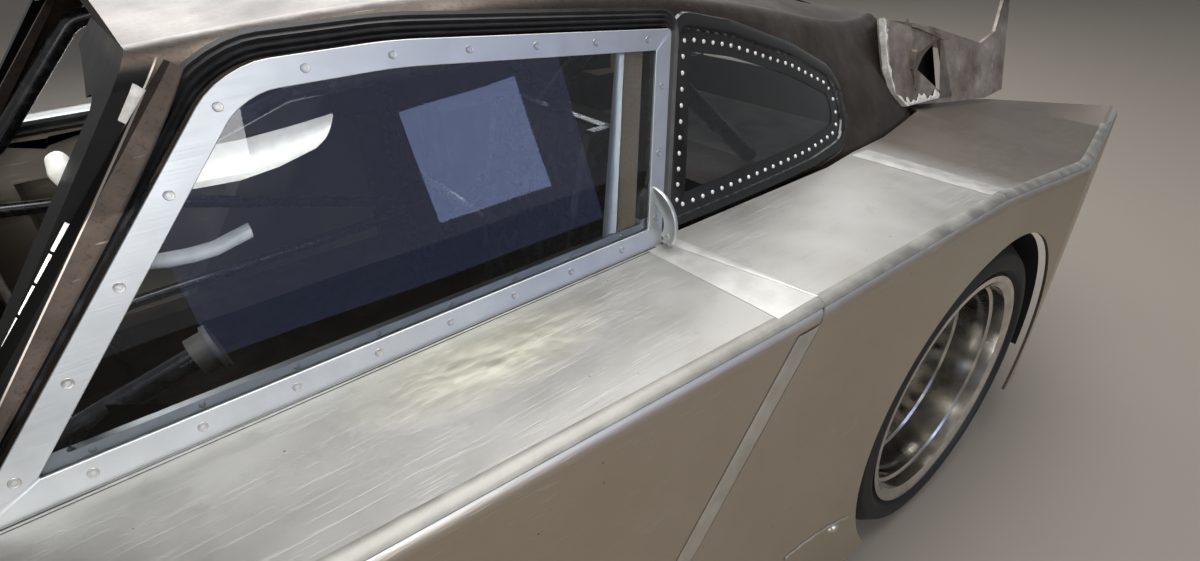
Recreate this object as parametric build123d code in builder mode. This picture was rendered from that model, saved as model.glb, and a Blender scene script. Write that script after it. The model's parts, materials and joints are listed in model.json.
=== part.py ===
from build123d import *
import math
import os

# Wide-body racing coupe in bare metal, rear engine, on its four wheels.
# Millimetres. +X forward, +Y left, +Z up. The origin is on the floor, under the middle of the whole car.
# A station is the distance behind the front axle; at(station) is its X.

os.makedirs("parts", exist_ok=True)

# Driving sizes of the whole car
wheelbase = 2271.0
nose_station = -1075.0
tail_station = 3475.0
front_axle_x = (nose_station + tail_station) / 2
sheet = 6.0
shut_gap = 6.5

# Wheels and tyres
front_tyre_radius = 312.0
front_tyre_width = 250.0
front_tyre_centre_y = 762.0
rear_tyre_radius = 332.0
rear_tyre_width = 350.0
rear_tyre_centre_y = 776.0
front_sidewall = 66.0
rear_sidewall = 73.0
front_rim_radius = front_tyre_radius - front_sidewall
rear_rim_radius = rear_tyre_radius - rear_sidewall
rim_wall = 7.0
bead_drop = 12.0
stub_radius = 24.0
running_gap = 0.05
hub_length = 90.0
hub_radius = 62.0
side_gap = 1.5
king_pin_y = 655.0
king_pin_radius = 13.0
rim_windows = 10
window_low = 132.0
window_width = 62.0
window_rim_margin = 40.0
nut_radius = 42.0
nut_length = 30.0

# Box bodywork
shelf_z = 806.0
edge_roll = 22.0
skirt_z = 105.0
arch_gap_front = 38.0
arch_gap_rear = 30.0

# Cabin
belt_z = 780.0
housing_head_room = 42.0
shell_low_z = 2 * rear_tyre_radius + housing_head_room
cabin_wall = 26.0
glass = 4.0
header_station = 1104.0
pillar_depth = 56.0
pillar_width = 34.0
door_opening_front = 848.0

# Doors
door_front_station = 778.0
door_front_gap = 7.5
door_corner = 20.0
door_inner_y = 684.0
hinge_station = 800.0
hinge_y = 893.0
hinge_pin_radius = 7.0
hinge_plate = 24.0
hinge_heights = (250.0, 640.0)
seam_station = 1655.0
seam_inner_y = 684.0
seam_side_slope = 0.171
seam_rake = 0.70
frame_width = 27.0
frame_sheet = 4.0
frame_y = 697.0
tumblehome = 0.242
seal_width = 16.0

# Tubs: the rear wheel housings and the firewall stand off the rear wheels, the hoop off the housings
floor_low_z = 130.0
floor_top_z = 142.0
sill_top_z = 300.0
tub_y = 664.0
well_y = 478.0
tub_sheet = 10.0
bulkhead_station = 430.0
bulkhead_sheet = 20.0
housing_gap = 49.0
housing_wall = 12.0
housing_front = wheelbase - rear_tyre_radius - housing_gap
firewall_gap = 221.0
firewall_station = wheelbase - firewall_gap
deck_sheet = 8.0
deck_z = shell_low_z - deck_sheet
apron_station = 3021.0
hoop_gap = 130.0
hoop_station = housing_front - hoop_gap
bulkhead_step = 6.0
bulkhead_z = shell_low_z - bulkhead_step

# Front lid and engine lid
lid_sheet = 10.0
lid_rear_station = 395.0
lid_front_station = -880.0
lid_rear_z = 815.0
lid_front_z = 500.0
lid_half_width = 492.0
tail_front_station = 2612.0
tail_top_z = 985.0


def at(station):
    return front_axle_x - station


def side_outline(points, y_high, y_low):
    """Solid from an outline in (station, height), between two Y values."""
    with BuildPart() as solid:
        with BuildSketch(Plane.XZ.offset(-y_high)):
            with BuildLine():
                Polyline(*[(at(s), z) for s, z in points], close=True)
            make_face()
        extrude(amount=y_high - y_low)
    return solid.part


def plan_outline(points, z_low, z_high):
    """Solid from an outline in (station, Y), between two heights."""
    with BuildPart() as solid:
        with BuildSketch(Plane.XY.offset(z_low)):
            with BuildLine():
                Polyline(*[(at(s), y) for s, y in points], close=True)
            make_face()
        extrude(amount=z_high - z_low)
    return solid.part


def block(s_front, s_rear, y_low, y_high, z_low, z_high):
    """Box between two stations, two Y values and two heights."""
    with BuildPart() as solid:
        with BuildSketch(Plane.XY.offset(z_low)):
            with Locations((at((s_front + s_rear) / 2), (y_low + y_high) / 2)):
                Rectangle(s_rear - s_front, y_high - y_low)
        extrude(amount=z_high - z_low)
    return solid.part


def tube(points, radius, bend=60.0):
    """Round bar through (station, Y, Z) points, bent to a radius at each point between its ends."""
    stops = [Vector(at(s), y, z) for s, y, z in points]
    with BuildPart() as bar:
        with BuildLine() as path:
            if len(stops) > 2:
                FilletPolyline(*stops, radius=bend)
            else:
                Line(*stops)
        with BuildSketch(Plane(origin=stops[0], z_dir=stops[1] - stops[0])):
            Circle(radius)
        sweep(path=path.line)
    return bar.part


def hand_in(solid, name):
    """Labels one sub-part and writes it."""
    solid.label = name
    export_step(solid, f"parts/{name}.step")


def other_side(solid):
    """Mirror image on the other side of the car."""
    return mirror(solid, about=Plane.XZ, mode=Mode.PRIVATE)


def both_sides(left, name):
    """Writes a left-hand sub-part and its mirror image."""
    hand_in(left, f"{name}_left")
    hand_in(other_side(left), f"{name}_right")


# Outer edge of the box bodywork in plan: station, Y
body_edge = [
    (-1000, 700),
    (-900, 835),
    (-600, 893),
    (0, 902),
    (800, 917),
    (1090, 931),
    (1674, 957),
    (2206, 967),
    (2640, 962),
    (3060, 878),
]


def body_plan(inset, s_front=-1100.0, s_rear=3100.0):
    """Left half of the body in plan, moved in from the skin by inset."""
    points = [(s, y - inset) for s, y in body_edge]
    first = (s_front, points[0][1])
    last = (s_rear, points[-1][1])
    return plan_outline([(s_front, 0), first, *points, last, (s_rear, 0)], 0, 1300)


# Cabin: station, belt Y, rail Y, rail Z, crown Z
cabin_sections = [
    (430, 664, 596, 1110, 1178),
    (1200, 671, 600, 1128, 1198),
    (1620, 674, 598, 1122, 1210),
    (2060, 674, 572, 1045, 1158),
    (2606, 574, 455, 962, 1004),
]
shoulder = 46.0


def cabin_form(inset):
    """Solid of the greenhouse, moved in from its skin by inset."""
    low = shell_low_z - (0 if inset == 0 else 30)
    with BuildPart() as form:
        for s, belt_y, rail_y, rail_z, crown_z in cabin_sections:
            belt = (belt_y - inset, belt_z)
            rail = (rail_y - inset, rail_z - inset * 0.4)
            roof = (rail_y - shoulder - inset, rail_z + shoulder * 0.62 - inset * 0.85)
            bend = ((rail[0] + roof[0]) / 2 + shoulder * 0.16, (rail[1] + roof[1]) / 2 + shoulder * 0.12)
            with BuildSketch(Plane(origin=(at(s), 0, 0), x_dir=(0, 1, 0), z_dir=(1, 0, 0))):
                with BuildLine():
                    Polyline((0, crown_z - inset), (0, low), (belt_y - inset, low), belt, rail)
                    ThreePointArc(rail, bend, roof)
                    crown = crown_z - inset
                    drop = crown - roof[1]
                    radius = (roof[0] ** 2 + drop**2) / (2 * drop)
                    middle = (roof[0] / 2, crown - radius + math.sqrt(radius**2 - roof[0] ** 2 / 4))
                    ThreePointArc(roof, middle, (0, crown))
                make_face()
        loft()
        mirror(about=Plane.XZ)
    return form.part


# Outline of the door's window frame in (station, height), clockwise from the front foot
frame_points = [(868, shelf_z), (1066, 1050), (1215, 1129), (1310, 1129), (1738, 1091), (1652, shelf_z)]
frame_corner_radii = [12, 190, 120, 400, 16, 10]


def frame_outline(grow, y_high, y_low):
    """Solid bounded by the window frame's outer outline, grown by grow."""
    with BuildPart() as solid:
        with BuildSketch(Plane.XZ.offset(-y_high)) as outline:
            with BuildLine() as rim:
                FilletPolyline(
                    *[(at(s), z) for s, z in frame_points],
                    radius=frame_corner_radii,
                    close=True,
                )
            make_face()
            if grow:
                offset(amount=grow, kind=Kind.INTERSECTION)
        extrude(amount=y_high - y_low)
    return solid.part


def leaning_slab(outer, thickness):
    """Slab that follows the tumblehome, its outer face moved out from the frame's plane by outer."""
    rise = 500
    with BuildPart() as slab:
        with BuildSketch(Plane.YZ.offset(at(2700))):
            with BuildLine():
                Polyline(
                    (frame_y + outer, shelf_z),
                    (frame_y + outer - tumblehome * rise, shelf_z + rise),
                    (frame_y + outer - thickness - tumblehome * rise, shelf_z + rise),
                    (frame_y + outer - thickness + tumblehome * 60, shelf_z - 60),
                    (frame_y + outer + tumblehome * 60, shelf_z - 60),
                    close=True,
                )
            make_face()
        extrude(amount=2300)
    return slab.part


quarter_points = [(1712, 823), (1784, 1078), (1900, 1052), (2100, 968), (2262, 888), (2205, 836), (2080, 824)]
quarter_radii = [10, 18, 300, 500, 22, 60, 200]


def quarter_outline(grow):
    """Solid bounded by the rear quarter window's outline, grown by grow."""
    with BuildPart() as solid:
        with BuildSketch(Plane.XZ.offset(-760)):
            with BuildLine():
                FilletPolyline(*[(at(s), z) for s, z in quarter_points], radius=quarter_radii, close=True)
            make_face()
            if grow:
                offset(amount=grow, kind=Kind.ARC)
        extrude(amount=360)
    return solid.part


def rear_glass_outline(grow):
    """Solid that cuts the rear window's opening out of the roof's tail."""
    with BuildPart() as solid:
        with BuildSketch(Plane.XY.offset(850)):
            with BuildLine():
                FilletPolyline(
                    (at(2085), 400 + grow),
                    (at(2085), -400 - grow),
                    (at(2530), -330 - grow),
                    (at(2530), 330 + grow),
                    radius=60,
                    close=True,
                )
            make_face()
            if grow:
                offset(amount=grow, kind=Kind.ARC)
        extrude(amount=500)
    return solid.part


# Cabin shell: roof, pillars and the panels round the rear windows
pillar_front = [(815, 792), (843, 826), (1041, 1070), (header_station, 1148)]
pillar_rear = [(s + pillar_width, z - 8) for s, z in reversed(pillar_front)]
windscreen = [(300, 690), (430, 788), *pillar_front, (header_station, 1400), (300, 1400)]
windscreen_cut = side_outline(windscreen, 900, -900)
pillar_strip = side_outline([*pillar_front, *pillar_rear], 900, 300)
pillar = (cabin_form(0) - cabin_form(pillar_depth)) & pillar_strip
door_cut = frame_outline(20, 900, 500) - leaning_slab(-26, 500)
door_cut += frame_outline(-14, 900, 500)
door_cut += block(door_opening_front, 1640, 560, 900, 600, 812)
with BuildPart() as cabin_shell:
    add(cabin_form(0))
    add(cabin_form(cabin_wall), mode=Mode.SUBTRACT)
    add(pillar)
    add(other_side(pillar))
    add(windscreen_cut, mode=Mode.SUBTRACT)
    for cut in (door_cut, quarter_outline(0)):
        add(cut, mode=Mode.SUBTRACT)
        add(other_side(cut), mode=Mode.SUBTRACT)
    add(rear_glass_outline(0), mode=Mode.SUBTRACT)
hand_in(cabin_shell.part, "cabin_shell")

# Fixed windows, flush in the shell's skin
skin_layer = cabin_form(2) - cabin_form(2 + glass)
both_sides(skin_layer & quarter_outline(-0.5), "quarter_window")
hand_in(skin_layer & rear_glass_outline(-0.5), "rear_window")

# Door window: aluminium frame, plastic pane behind it, rubber seal round it on the shell
with BuildPart() as door_window_frame:
    add(frame_outline(0, 900, 500) & leaning_slab(0, frame_sheet))
    add(frame_outline(-frame_width, 900, 500), mode=Mode.SUBTRACT)
both_sides(door_window_frame.part, "door_window_frame")
door_pane = frame_outline(-6, 900, 500) & leaning_slab(-frame_sheet, glass)
both_sides(door_pane, "door_pane")
with BuildPart() as window_seal:
    add((frame_outline(4 + seal_width, 900, 500) - frame_outline(4, 900, 500)) & leaning_slab(-10, 16))
    add(block(700, 1900, 400, 900, 600, shelf_z + 8), mode=Mode.SUBTRACT)
both_sides(window_seal.part, "window_seal")


def seam_wedge(offset_back):
    """Everything behind the raked seam between door and rear fender, moved back by offset_back."""
    low, high = -100.0, 1000.0
    with BuildPart() as wedge:
        for y in (500.0, 1100.0):
            with BuildSketch(Plane.XZ.offset(-y)):
                with BuildLine():
                    lean = seam_station + offset_back + seam_side_slope * (y - seam_inner_y)
                    Polyline(
                        (at(lean + seam_rake * (low - shelf_z)), low),
                        (at(lean + seam_rake * (high - shelf_z)), high),
                        (at(3600), high),
                        (at(3600), low),
                        close=True,
                    )
                make_face()
        loft(ruled=True)
    return wedge.part


def height_on(outline, station):
    """Second value of an outline at a station, by straight lines between its points."""
    for (s0, v0), (s1, v1) in zip(outline, outline[1:]):
        if s0 <= station <= s1:
            return v0 + (v1 - v0) * (station - s0) / (s1 - s0)
    return outline[-1][1]


def rolled_box(top_points, z_low, inset):
    """Box bodywork on the left side from (station, outer height, inner height), its outer top edge rolled."""
    outer_tops = [(s, outer) for s, outer, _ in top_points]
    inner_tops = [(s, inner) for s, _, inner in top_points]
    front, rear = top_points[0][0], top_points[-1][0]
    inner_y = 400.0
    measured_y = 590.0
    low = z_low if inset == 0 else z_low - 50
    roll = edge_roll - inset
    corner = roll * (1 - math.sqrt(0.5))
    stations = sorted({s for s, _ in outer_tops} | {s for s, _ in body_edge if front < s < rear})
    with BuildPart() as box:
        for s in stations:
            skin = height_on(body_edge, s) - inset
            top = height_on(outer_tops, s) - inset
            tilt = (height_on(inner_tops, s) - inset - top) / (skin - roll - measured_y)
            inner_top = top + tilt * (skin - roll - inner_y)
            with BuildSketch(Plane(origin=(at(s), 0, 0), x_dir=(0, 1, 0), z_dir=(1, 0, 0))):
                with BuildLine():
                    Polyline((skin, top - roll), (skin, low), (inner_y, low), (inner_y, inner_top), (skin - roll, top))
                    ThreePointArc((skin - roll, top), (skin - corner, top - corner), (skin, top - roll))
                make_face()
        loft(ruled=True)
    return box.part


# Doors: box with a shelf under the window, hinged near its outer front edge
door_top = [(door_front_station, shelf_z, shelf_z), (2000, shelf_z, shelf_z)]
pocket_half = hinge_plate / 2 + 5
hinge_pockets = [
    block(door_front_station - 5, hinge_station + 16, hinge_y - 17, 1000, z - pocket_half, z + pocket_half)
    for z in hinge_heights
]
with BuildPart() as door:
    add(rolled_box(door_top, skirt_z + 25, 0))
    add(seam_wedge(0), mode=Mode.SUBTRACT)
    add(block(600, 2000, 300, door_inner_y, 0, 1000), mode=Mode.SUBTRACT)
    corner_edges = door.edges().filter_by(Axis.Z).group_by(Axis.X)[-1].group_by(Axis.Y)[-1]
    fillet(corner_edges, radius=door_corner)
    add(block(880, 1560, 600, 860, 240, 700) - seam_wedge(-150), mode=Mode.SUBTRACT)
    for pocket in hinge_pockets:
        add(pocket, mode=Mode.SUBTRACT)
    for z in hinge_heights:
        with Locations((at(hinge_station), hinge_y, z)):
            Cylinder(hinge_pin_radius + running_gap, 90, mode=Mode.SUBTRACT)
both_sides(door.part, "door")

# Rear fenders: hollow box from the door seam to the finned tail
fender_top = [
    (1100, shelf_z, shelf_z),
    (2206, 805, 805),
    (2600, 750, 790),
    (2790, 731, 762),
    (2960, 735, 740),
    (3060, 762, 726),
]
rear_contour = side_outline(
    [(3100, 700), (3058, 640), (2990, 480), (2860, 330), (2660, 190), (2550, 150), (2550, 0), (3100, 0)], 1000, 400
)
fender_inner = plan_outline(
    [(1000, 300), (1000, 682), (2100, 684), (2350, 652), (2600, 594), (2612, 560), (3200, 560), (3200, 300)], 0, 1300
)
with BuildPart() as rear_fender:
    add(rolled_box(fender_top, skirt_z, 0))
    add(rolled_box(fender_top, skirt_z, sheet), mode=Mode.SUBTRACT)
    add(seam_wedge(shut_gap), mode=Mode.INTERSECT)
    add(fender_inner, mode=Mode.SUBTRACT)
    add(rear_contour, mode=Mode.SUBTRACT)
    with Locations((at(wheelbase + 5), 900, rear_tyre_radius)):
        Cylinder(rear_tyre_radius + arch_gap_rear, 400, rotation=(90, 0, 0), mode=Mode.SUBTRACT)
both_sides(rear_fender.part, "rear_fender")

# Front fenders: hollow slanting box over the front wheels, closed behind by the plate that carries the hinges
front_top = [
    (-930, 478, 478),
    (-520, 640, 640),
    (-120, 738, 738),
    (330, 790, 790),
    (door_front_station - door_front_gap, shelf_z, shelf_z),
]
hinge_wall = door_front_station - door_front_gap - 30
flange_depth = 100.0
with BuildPart() as front_fender:
    add(rolled_box(front_top, skirt_z, 0))
    add(rolled_box(front_top, skirt_z, sheet), mode=Mode.SUBTRACT)
    add(block(hinge_wall, hinge_wall + sheet, 684, 1000, skirt_z, 1000) & rolled_box(front_top, skirt_z, sheet / 2))
    for z in hinge_heights:
        with BuildSketch(Plane.XY.offset(z - hinge_plate / 2)):
            with Locations((at(hinge_station), hinge_y)):
                Circle(hinge_plate / 2)
            with Locations((at((hinge_station + hinge_wall) / 2), hinge_y)):
                Rectangle(hinge_station - hinge_wall, hinge_plate)
        extrude(amount=hinge_plate)
        with Locations((at(hinge_station), hinge_y, z)):
            Cylinder(hinge_pin_radius, 88)
    flange_low = [(s, inner - flange_depth) for s, _, inner in front_top[:4]]
    flange_high = [(s, inner - 3) for s, _, inner in front_top[:4]]
    add(side_outline(flange_high + flange_low[::-1], lid_half_width + 8 + sheet, lid_half_width))
    add(block(-1100, 425, 300, lid_half_width + 8, 0, 1300), mode=Mode.SUBTRACT)
    add(block(424, 900, 300, 684, 0, 1300), mode=Mode.SUBTRACT)
    with Locations((at(0), 900, front_tyre_radius)):
        Cylinder(front_tyre_radius + arch_gap_front, 500, rotation=(90, 0, 0), mode=Mode.SUBTRACT)
both_sides(front_fender.part, "front_fender")

# Nose: air dam with a splitter and intakes
dam_skin = side_outline([(-931, 478), (-990, 446), (-1035, 390), (-1055, 300), (-1050, 110), (-931, 110)], 900, -900)
dam_hollow = side_outline([(-925, 466), (-985, 437), (-1028, 386), (-1047, 300), (-1042, 60), (-925, 60)], 900, -900)
skin_plan = body_plan(0)
skin_plan += other_side(skin_plan)
hollow_plan = body_plan(8)
hollow_plan += other_side(hollow_plan)
splitter_half = plan_outline(
    [(nose_station, 0), (nose_station, 600), (-980, 800), (-900, 850), (-700, 850), (-700, 0)], 92, 104
)
with BuildPart() as nose:
    add(dam_skin & skin_plan)
    add(dam_hollow & hollow_plan, mode=Mode.SUBTRACT)
    add(side_outline([(-888, 496), (-933, 480), (-933, 470), (-888, 486)], lid_half_width, -lid_half_width))
    with Locations((at(-1040), 0, 300)):
        Box(200, 620, 120, mode=Mode.SUBTRACT)
    for side in (1, -1):
        with Locations((at(-1020), side * 560, 250)):
            Box(200, 190, 110, mode=Mode.SUBTRACT)
    add(splitter_half)
    mirror(splitter_half, about=Plane.XZ)
    add(block(-1051, -940, -640, 640, 103, 111))
hand_in(nose.part, "nose")

# Front lid: slanting sheet with a crown
with BuildPart() as front_lid:
    slope = math.atan2(lid_rear_z - lid_front_z, lid_rear_station - lid_front_station)
    length = math.hypot(lid_rear_z - lid_front_z, lid_rear_station - lid_front_station)
    rear_plane = Plane(
        origin=(at(lid_rear_station), 0, lid_rear_z),
        x_dir=(0, 1, 0),
        z_dir=(math.cos(slope), 0, -math.sin(slope)),
    )
    with BuildSketch(rear_plane):
        with BuildLine():
            ThreePointArc((-lid_half_width, -24), (0, 0), (lid_half_width, -24))
            Line((lid_half_width, -24), (lid_half_width, -24 - lid_sheet))
            ThreePointArc((lid_half_width, -24 - lid_sheet), (0, -lid_sheet), (-lid_half_width, -24 - lid_sheet))
            Line((-lid_half_width, -24 - lid_sheet), (-lid_half_width, -24))
        make_face()
    extrude(amount=length)
hand_in(front_lid.part, "front_lid")

# Front tub: boot floor, inner wings, bulkhead and cowl
with BuildPart() as front_tub:
    add(block(-900, 440, -470, 470, 150, 160))
    for side in (1, -1):
        add(side_outline([(-900, 150), (-900, 455), (440, 765), (440, 150)], side * 470 + 5, side * 470 - 5))
    add(block(-900, -890, -470, 470, 150, 455))
    add(block(bulkhead_station, bulkhead_station + bulkhead_sheet, -tub_y, tub_y, floor_low_z, bulkhead_z))
    add(block(bulkhead_station, bulkhead_station + bulkhead_sheet, -625, 625, bulkhead_z, 786))
    cowl = side_outline([(430, 786), (500, 832), (800, 846), (800, 838), (505, 822), (445, 780)], 620, -620)
    with BuildSketch(Plane.XY.offset(700), mode=Mode.PRIVATE) as cowl_plan:
        with BuildLine():
            ThreePointArc((at(798), 620), (at(690), 0), (at(798), -620))
            Polyline((at(798), -620), (at(430), -620), (at(430), 620), (at(798), 620))
        make_face()
    add(cowl & extrude(cowl_plan.sketch, amount=300, mode=Mode.PRIVATE))
hand_in(front_tub.part, "front_tub")

# Floor tub: floor, tunnel, sills and door posts
floor_front = bulkhead_station + bulkhead_sheet
with BuildPart() as floor_tub:
    add(block(floor_front, housing_front + housing_wall, -tub_y, tub_y, floor_low_z, floor_top_z))
    add(block(housing_front + housing_wall, firewall_station, -well_y, well_y, floor_low_z, floor_top_z))
    add(block(floor_front, firewall_station, -90, 90, floor_top_z, sill_top_z))
    for side in (1, -1):
        sill_low, sill_high = sorted((side * 590, side * tub_y))
        post_low, post_high = sorted((side * 630, side * tub_y))
        add(block(floor_front, housing_front, sill_low, sill_high, floor_top_z, sill_top_z))
        add(block(floor_front, 760, post_low, post_high, sill_top_z, shell_low_z))
        add(block(housing_front - 200, housing_front, post_low, post_high, sill_top_z, shell_low_z))
hand_in(floor_tub.part, "floor_tub")

# Rear tub: wheel housings, firewall and engine bay rails
engine_bay = firewall_station + housing_wall
with BuildPart() as rear_tub:
    for side in (1, -1):
        low, high = sorted((side * well_y, side * (well_y + tub_sheet)))
        add(block(housing_front + housing_wall, engine_bay, low, high, floor_low_z, shell_low_z))
        add(block(engine_bay, apron_station - 1, low, high, 400, shell_low_z))
        outer_low, outer_high = sorted((side * well_y, side * tub_y))
        add(block(housing_front, housing_front + housing_wall, outer_low, outer_high, floor_top_z, shell_low_z))
        add(block(housing_front, wheelbase + 229, outer_low, outer_high, deck_z, shell_low_z))
    add(block(firewall_station, engine_bay, -well_y, well_y, floor_low_z, shell_low_z))
    add(block(firewall_station, firewall_station + 190, -well_y, well_y, deck_z, shell_low_z))
hand_in(rear_tub.part, "rear_tub")

# Rear apron between the fenders
with BuildPart() as rear_apron:
    add(block(apron_station, apron_station + 9, -555, 555, 330, 700))
    with Locations((at(apron_station + 4), 0, 380)):
        Box(100, 520, 60, mode=Mode.SUBTRACT)
hand_in(rear_apron.part, "rear_apron")

# Engine lid with its tail: side walls that dip and rise into the wing's stays
tail_side = [
    (tail_front_station, 800),
    (tail_front_station, tail_top_z),
    (2955, 888),
    (3040, 905),
    (3130, 1010),
    (3150, 1010),
    (3062, 756),
    (2960, 752),
    (2790, 774),
]
with BuildPart() as tail_lean:
    with BuildSketch(Plane.YZ.offset(at(3300))):
        with BuildLine():
            Polyline((603, 740), (512, 1020), (504, 1020), (595, 740), close=True)
        make_face()
    extrude(amount=900)
scoop = side_outline([(2590, 900), (2680, 918), (2738, 935), (2768, 790), (2740, 800)], 640, 400)
ramp_plan = [(2590, 640), (2590, 562), (2600, 562), (2742, 500), (2738, 496), (2590, 552), (2575, 562), (2575, 640)]
scoop_ramp = plan_outline(ramp_plan, 786, 930)
ramp_limit = side_outline([(2600, 880), (2600, 920), (2738, 940), (2768, 786)], 566, 400)
tail_wall = (side_outline(tail_side, 620, 400) & tail_lean.part) - scoop
tail_wall += scoop_ramp & ramp_limit
deck = [(tail_front_station, 978), (tail_front_station, 970), (2955, 860), (3060, 860), (3060, 868), (2955, 868)]
with BuildPart() as engine_lid:
    add(side_outline(deck, 545, -545))
    add(tail_wall)
    mirror(tail_wall, about=Plane.XZ)
hand_in(engine_lid.part, "engine_lid")

# Rear wing on the tail
wing_section = [
    (3090, 1012),
    (3120, 1035),
    (3300, 1040),
    (tail_station, 1065),
    (tail_station, 1060),
    (3300, 1020),
    (3120, 1012),
]
with BuildPart() as rear_wing:
    add(side_outline(wing_section, 637, -637))
    for side in (1, -1):
        add(side_outline([(3080, 990), (3080, 1060), (3470, 1090), (3470, 1000)], side * 640 + 3, side * 640 - 3))
hand_in(rear_wing.part, "rear_wing")

# Roll cage: main hoop, front legs behind the pillars, door bars, rear stays and cross bars
hoop_radius = 20.0
brace_radius = 18.0
hoop_y = 558.0
leg_y = 565.0
leg_foot = 22.0
rail_line = [(s, rail_z) for s, _, _, rail_z, _ in cabin_sections]
roof_bar_z = height_on(rail_line, hoop_station + 30) - 12.25
front_leg = [
    (640, leg_y, floor_top_z + 8),
    (640, leg_y, 700),
    (890, leg_y, 818),
    (1110, 545, 1050),
    (1240, 512, roof_bar_z),
    (hoop_station + 28, 485, roof_bar_z),
]
hoop_half = [(hoop_station, hoop_y, floor_top_z), (hoop_station, hoop_y, 760), (hoop_station + 30, 495, roof_bar_z)]
hoop = [*[(s, -y, z) for s, y, z in hoop_half], *reversed(hoop_half)]
door_bars = [
    [(660, leg_y, 710), (1000, 600, 650), (hoop_station, hoop_y, 430)],
    [(640, leg_y, 345), (1000, 600, 360), (hoop_station, hoop_y, 400)],
]
with BuildPart() as roll_cage:
    add(tube(hoop, hoop_radius, 90))
    for side in (1, -1):
        add(tube([(s, side * y, z) for s, y, z in front_leg], brace_radius))
        for bar in door_bars:
            add(tube([(s, side * y, z) for s, y, z in bar], brace_radius - 2, 120))
        add(block(610, 670, side * leg_y - leg_foot, side * leg_y + leg_foot, floor_top_z, floor_top_z + 10))
        stay_top = (hoop_station + 35, side * 420, roof_bar_z - 2)
        stay_foot = (firewall_station + 176, side * 400, shell_low_z + brace_radius)
        add(tube([stay_top, stay_foot], brace_radius))
    add(tube([(1180, -525, roof_bar_z - 12), (1180, 525, roof_bar_z - 12)], brace_radius - 1))
    add(tube([(hoop_station, -hoop_y, 560), (hoop_station, hoop_y, 560)], brace_radius - 1))
    add(tube([(hoop_station + 2, -hoop_y + 4, 200), (hoop_station + 26, 430, roof_bar_z - 6)], brace_radius - 2))
hand_in(roll_cage.part, "roll_cage")

# Seat, controls and fittings of the cabin
# Seat outlines: distance ahead of the hoop, height
seat_side = [
    (525, 300),
    (545, 330),
    (460, 345),
    (260, 290),
    (170, 420),
    (110, 780),
    (70, 920),
    (10, 920),
    (115, 330),
    (200, 190),
    (430, 210),
]
seat_well = [(570, 420), (500, 312), (430, 296), (240, 238), (140, 400), (33, 960), (160, 1000), (360, 600)]
seat_wall = 18.0
seat_y = (195.0, 495.0)
with BuildPart() as seat:
    add(side_outline([(hoop_station - ahead, z) for ahead, z in seat_side], seat_y[1], seat_y[0]))
    hollow = side_outline(
        [(hoop_station - ahead, z) for ahead, z in seat_well], seat_y[1] - seat_wall, seat_y[0] + seat_wall
    )
    add(hollow, mode=Mode.SUBTRACT)
    bolster_edges = seat.edges().filter_by(Axis.Y).group_by(Axis.Z)[-1]
    fillet(bolster_edges, radius=8)
    for y in seat_y:
        add(block(hoop_station - 430, hoop_station - 200, y - 14, y + 14, floor_top_z, 212))
hand_in(seat.part, "seat")
column_radius = 18.0
column_start = Vector(at(700), 345, 600)
column_end = Vector(at(1060), 345, 690)
column_axis = (column_end - column_start).normalized()
with BuildPart() as steering_column:
    with BuildSketch(Plane(origin=column_start, z_dir=column_axis)):
        Circle(column_radius)
    extrude(amount=(column_end - column_start).length + 20)
hand_in(steering_column.part, "steering_column")
with BuildPart() as dash_beam:
    add(side_outline([(700, 680), (700, 750), (820, 750), (840, 700)], 540, -540))
    for y in (-400, 400):
        add(block(450, 706, y - 8, y + 8, 700, 742))
    add(block(765, 800, 345 - 32, 345 + 32, 592, 700))
    with BuildSketch(Plane(origin=column_start, z_dir=column_axis)):
        Circle(column_radius + running_gap)
    extrude(amount=300, mode=Mode.SUBTRACT)
hand_in(dash_beam.part, "dash_beam")
with BuildPart() as steering_wheel:
    hub_plane = Plane(origin=column_end + column_axis * 4, z_dir=column_axis)
    with BuildSketch(hub_plane):
        Circle(30)
        Circle(column_radius + running_gap, mode=Mode.SUBTRACT)
    extrude(amount=26)
    with BuildSketch(hub_plane.offset(26)):
        Circle(36)
        with PolarLocations(27, 6):
            Circle(3.2, mode=Mode.SUBTRACT)
    extrude(amount=8)
hand_in(steering_wheel.part, "steering_wheel")
lever_y = 40.0
knob_radius = 15.0
with BuildPart() as gear_lever:
    add(block(960, 1030, lever_y - 30, lever_y + 30, 300, 316))
    add(tube([(995, lever_y, 312), (965, lever_y, 560), (925, lever_y, 752)], 8, 200))
    with Locations((at(925), lever_y, 762)):
        Sphere(knob_radius)
hand_in(gear_lever.part, "gear_lever")
with BuildPart() as pedals:
    for y in (250, 345, 440):
        add(side_outline([(520, 180), (520, 300), (532, 300), (532, 180)], y + 30, y - 30))
        add(side_outline([(450, 145), (450, 160), (532, 200), (532, 185)], y + 6, y - 6))
hand_in(pedals.part, "pedals")
with BuildPart() as mirror_inside:
    with BuildSketch(Plane.YZ.offset(at(1052))):
        with Locations((430, 985)):
            RectangleRounded(70, 54, 12)
    extrude(amount=14)
    add(tube([(1045, 448, 990), (1045, 515, 998), (1070, 549, 1008)], 5, 12))
    add(tube(front_leg, brace_radius), mode=Mode.SUBTRACT)
hand_in(mirror_inside.part, "mirror_inside")

# Powertrain: flat engine behind the rear axle, gearbox ahead of it
with BuildPart() as powertrain:
    add(block(wheelbase + 59, apron_station - 171, -380, 380, 230, 620))
    add(block(firewall_station + 30, wheelbase + 59, -130, 130, 200, 440))
hand_in(powertrain.part, "powertrain")

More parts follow.
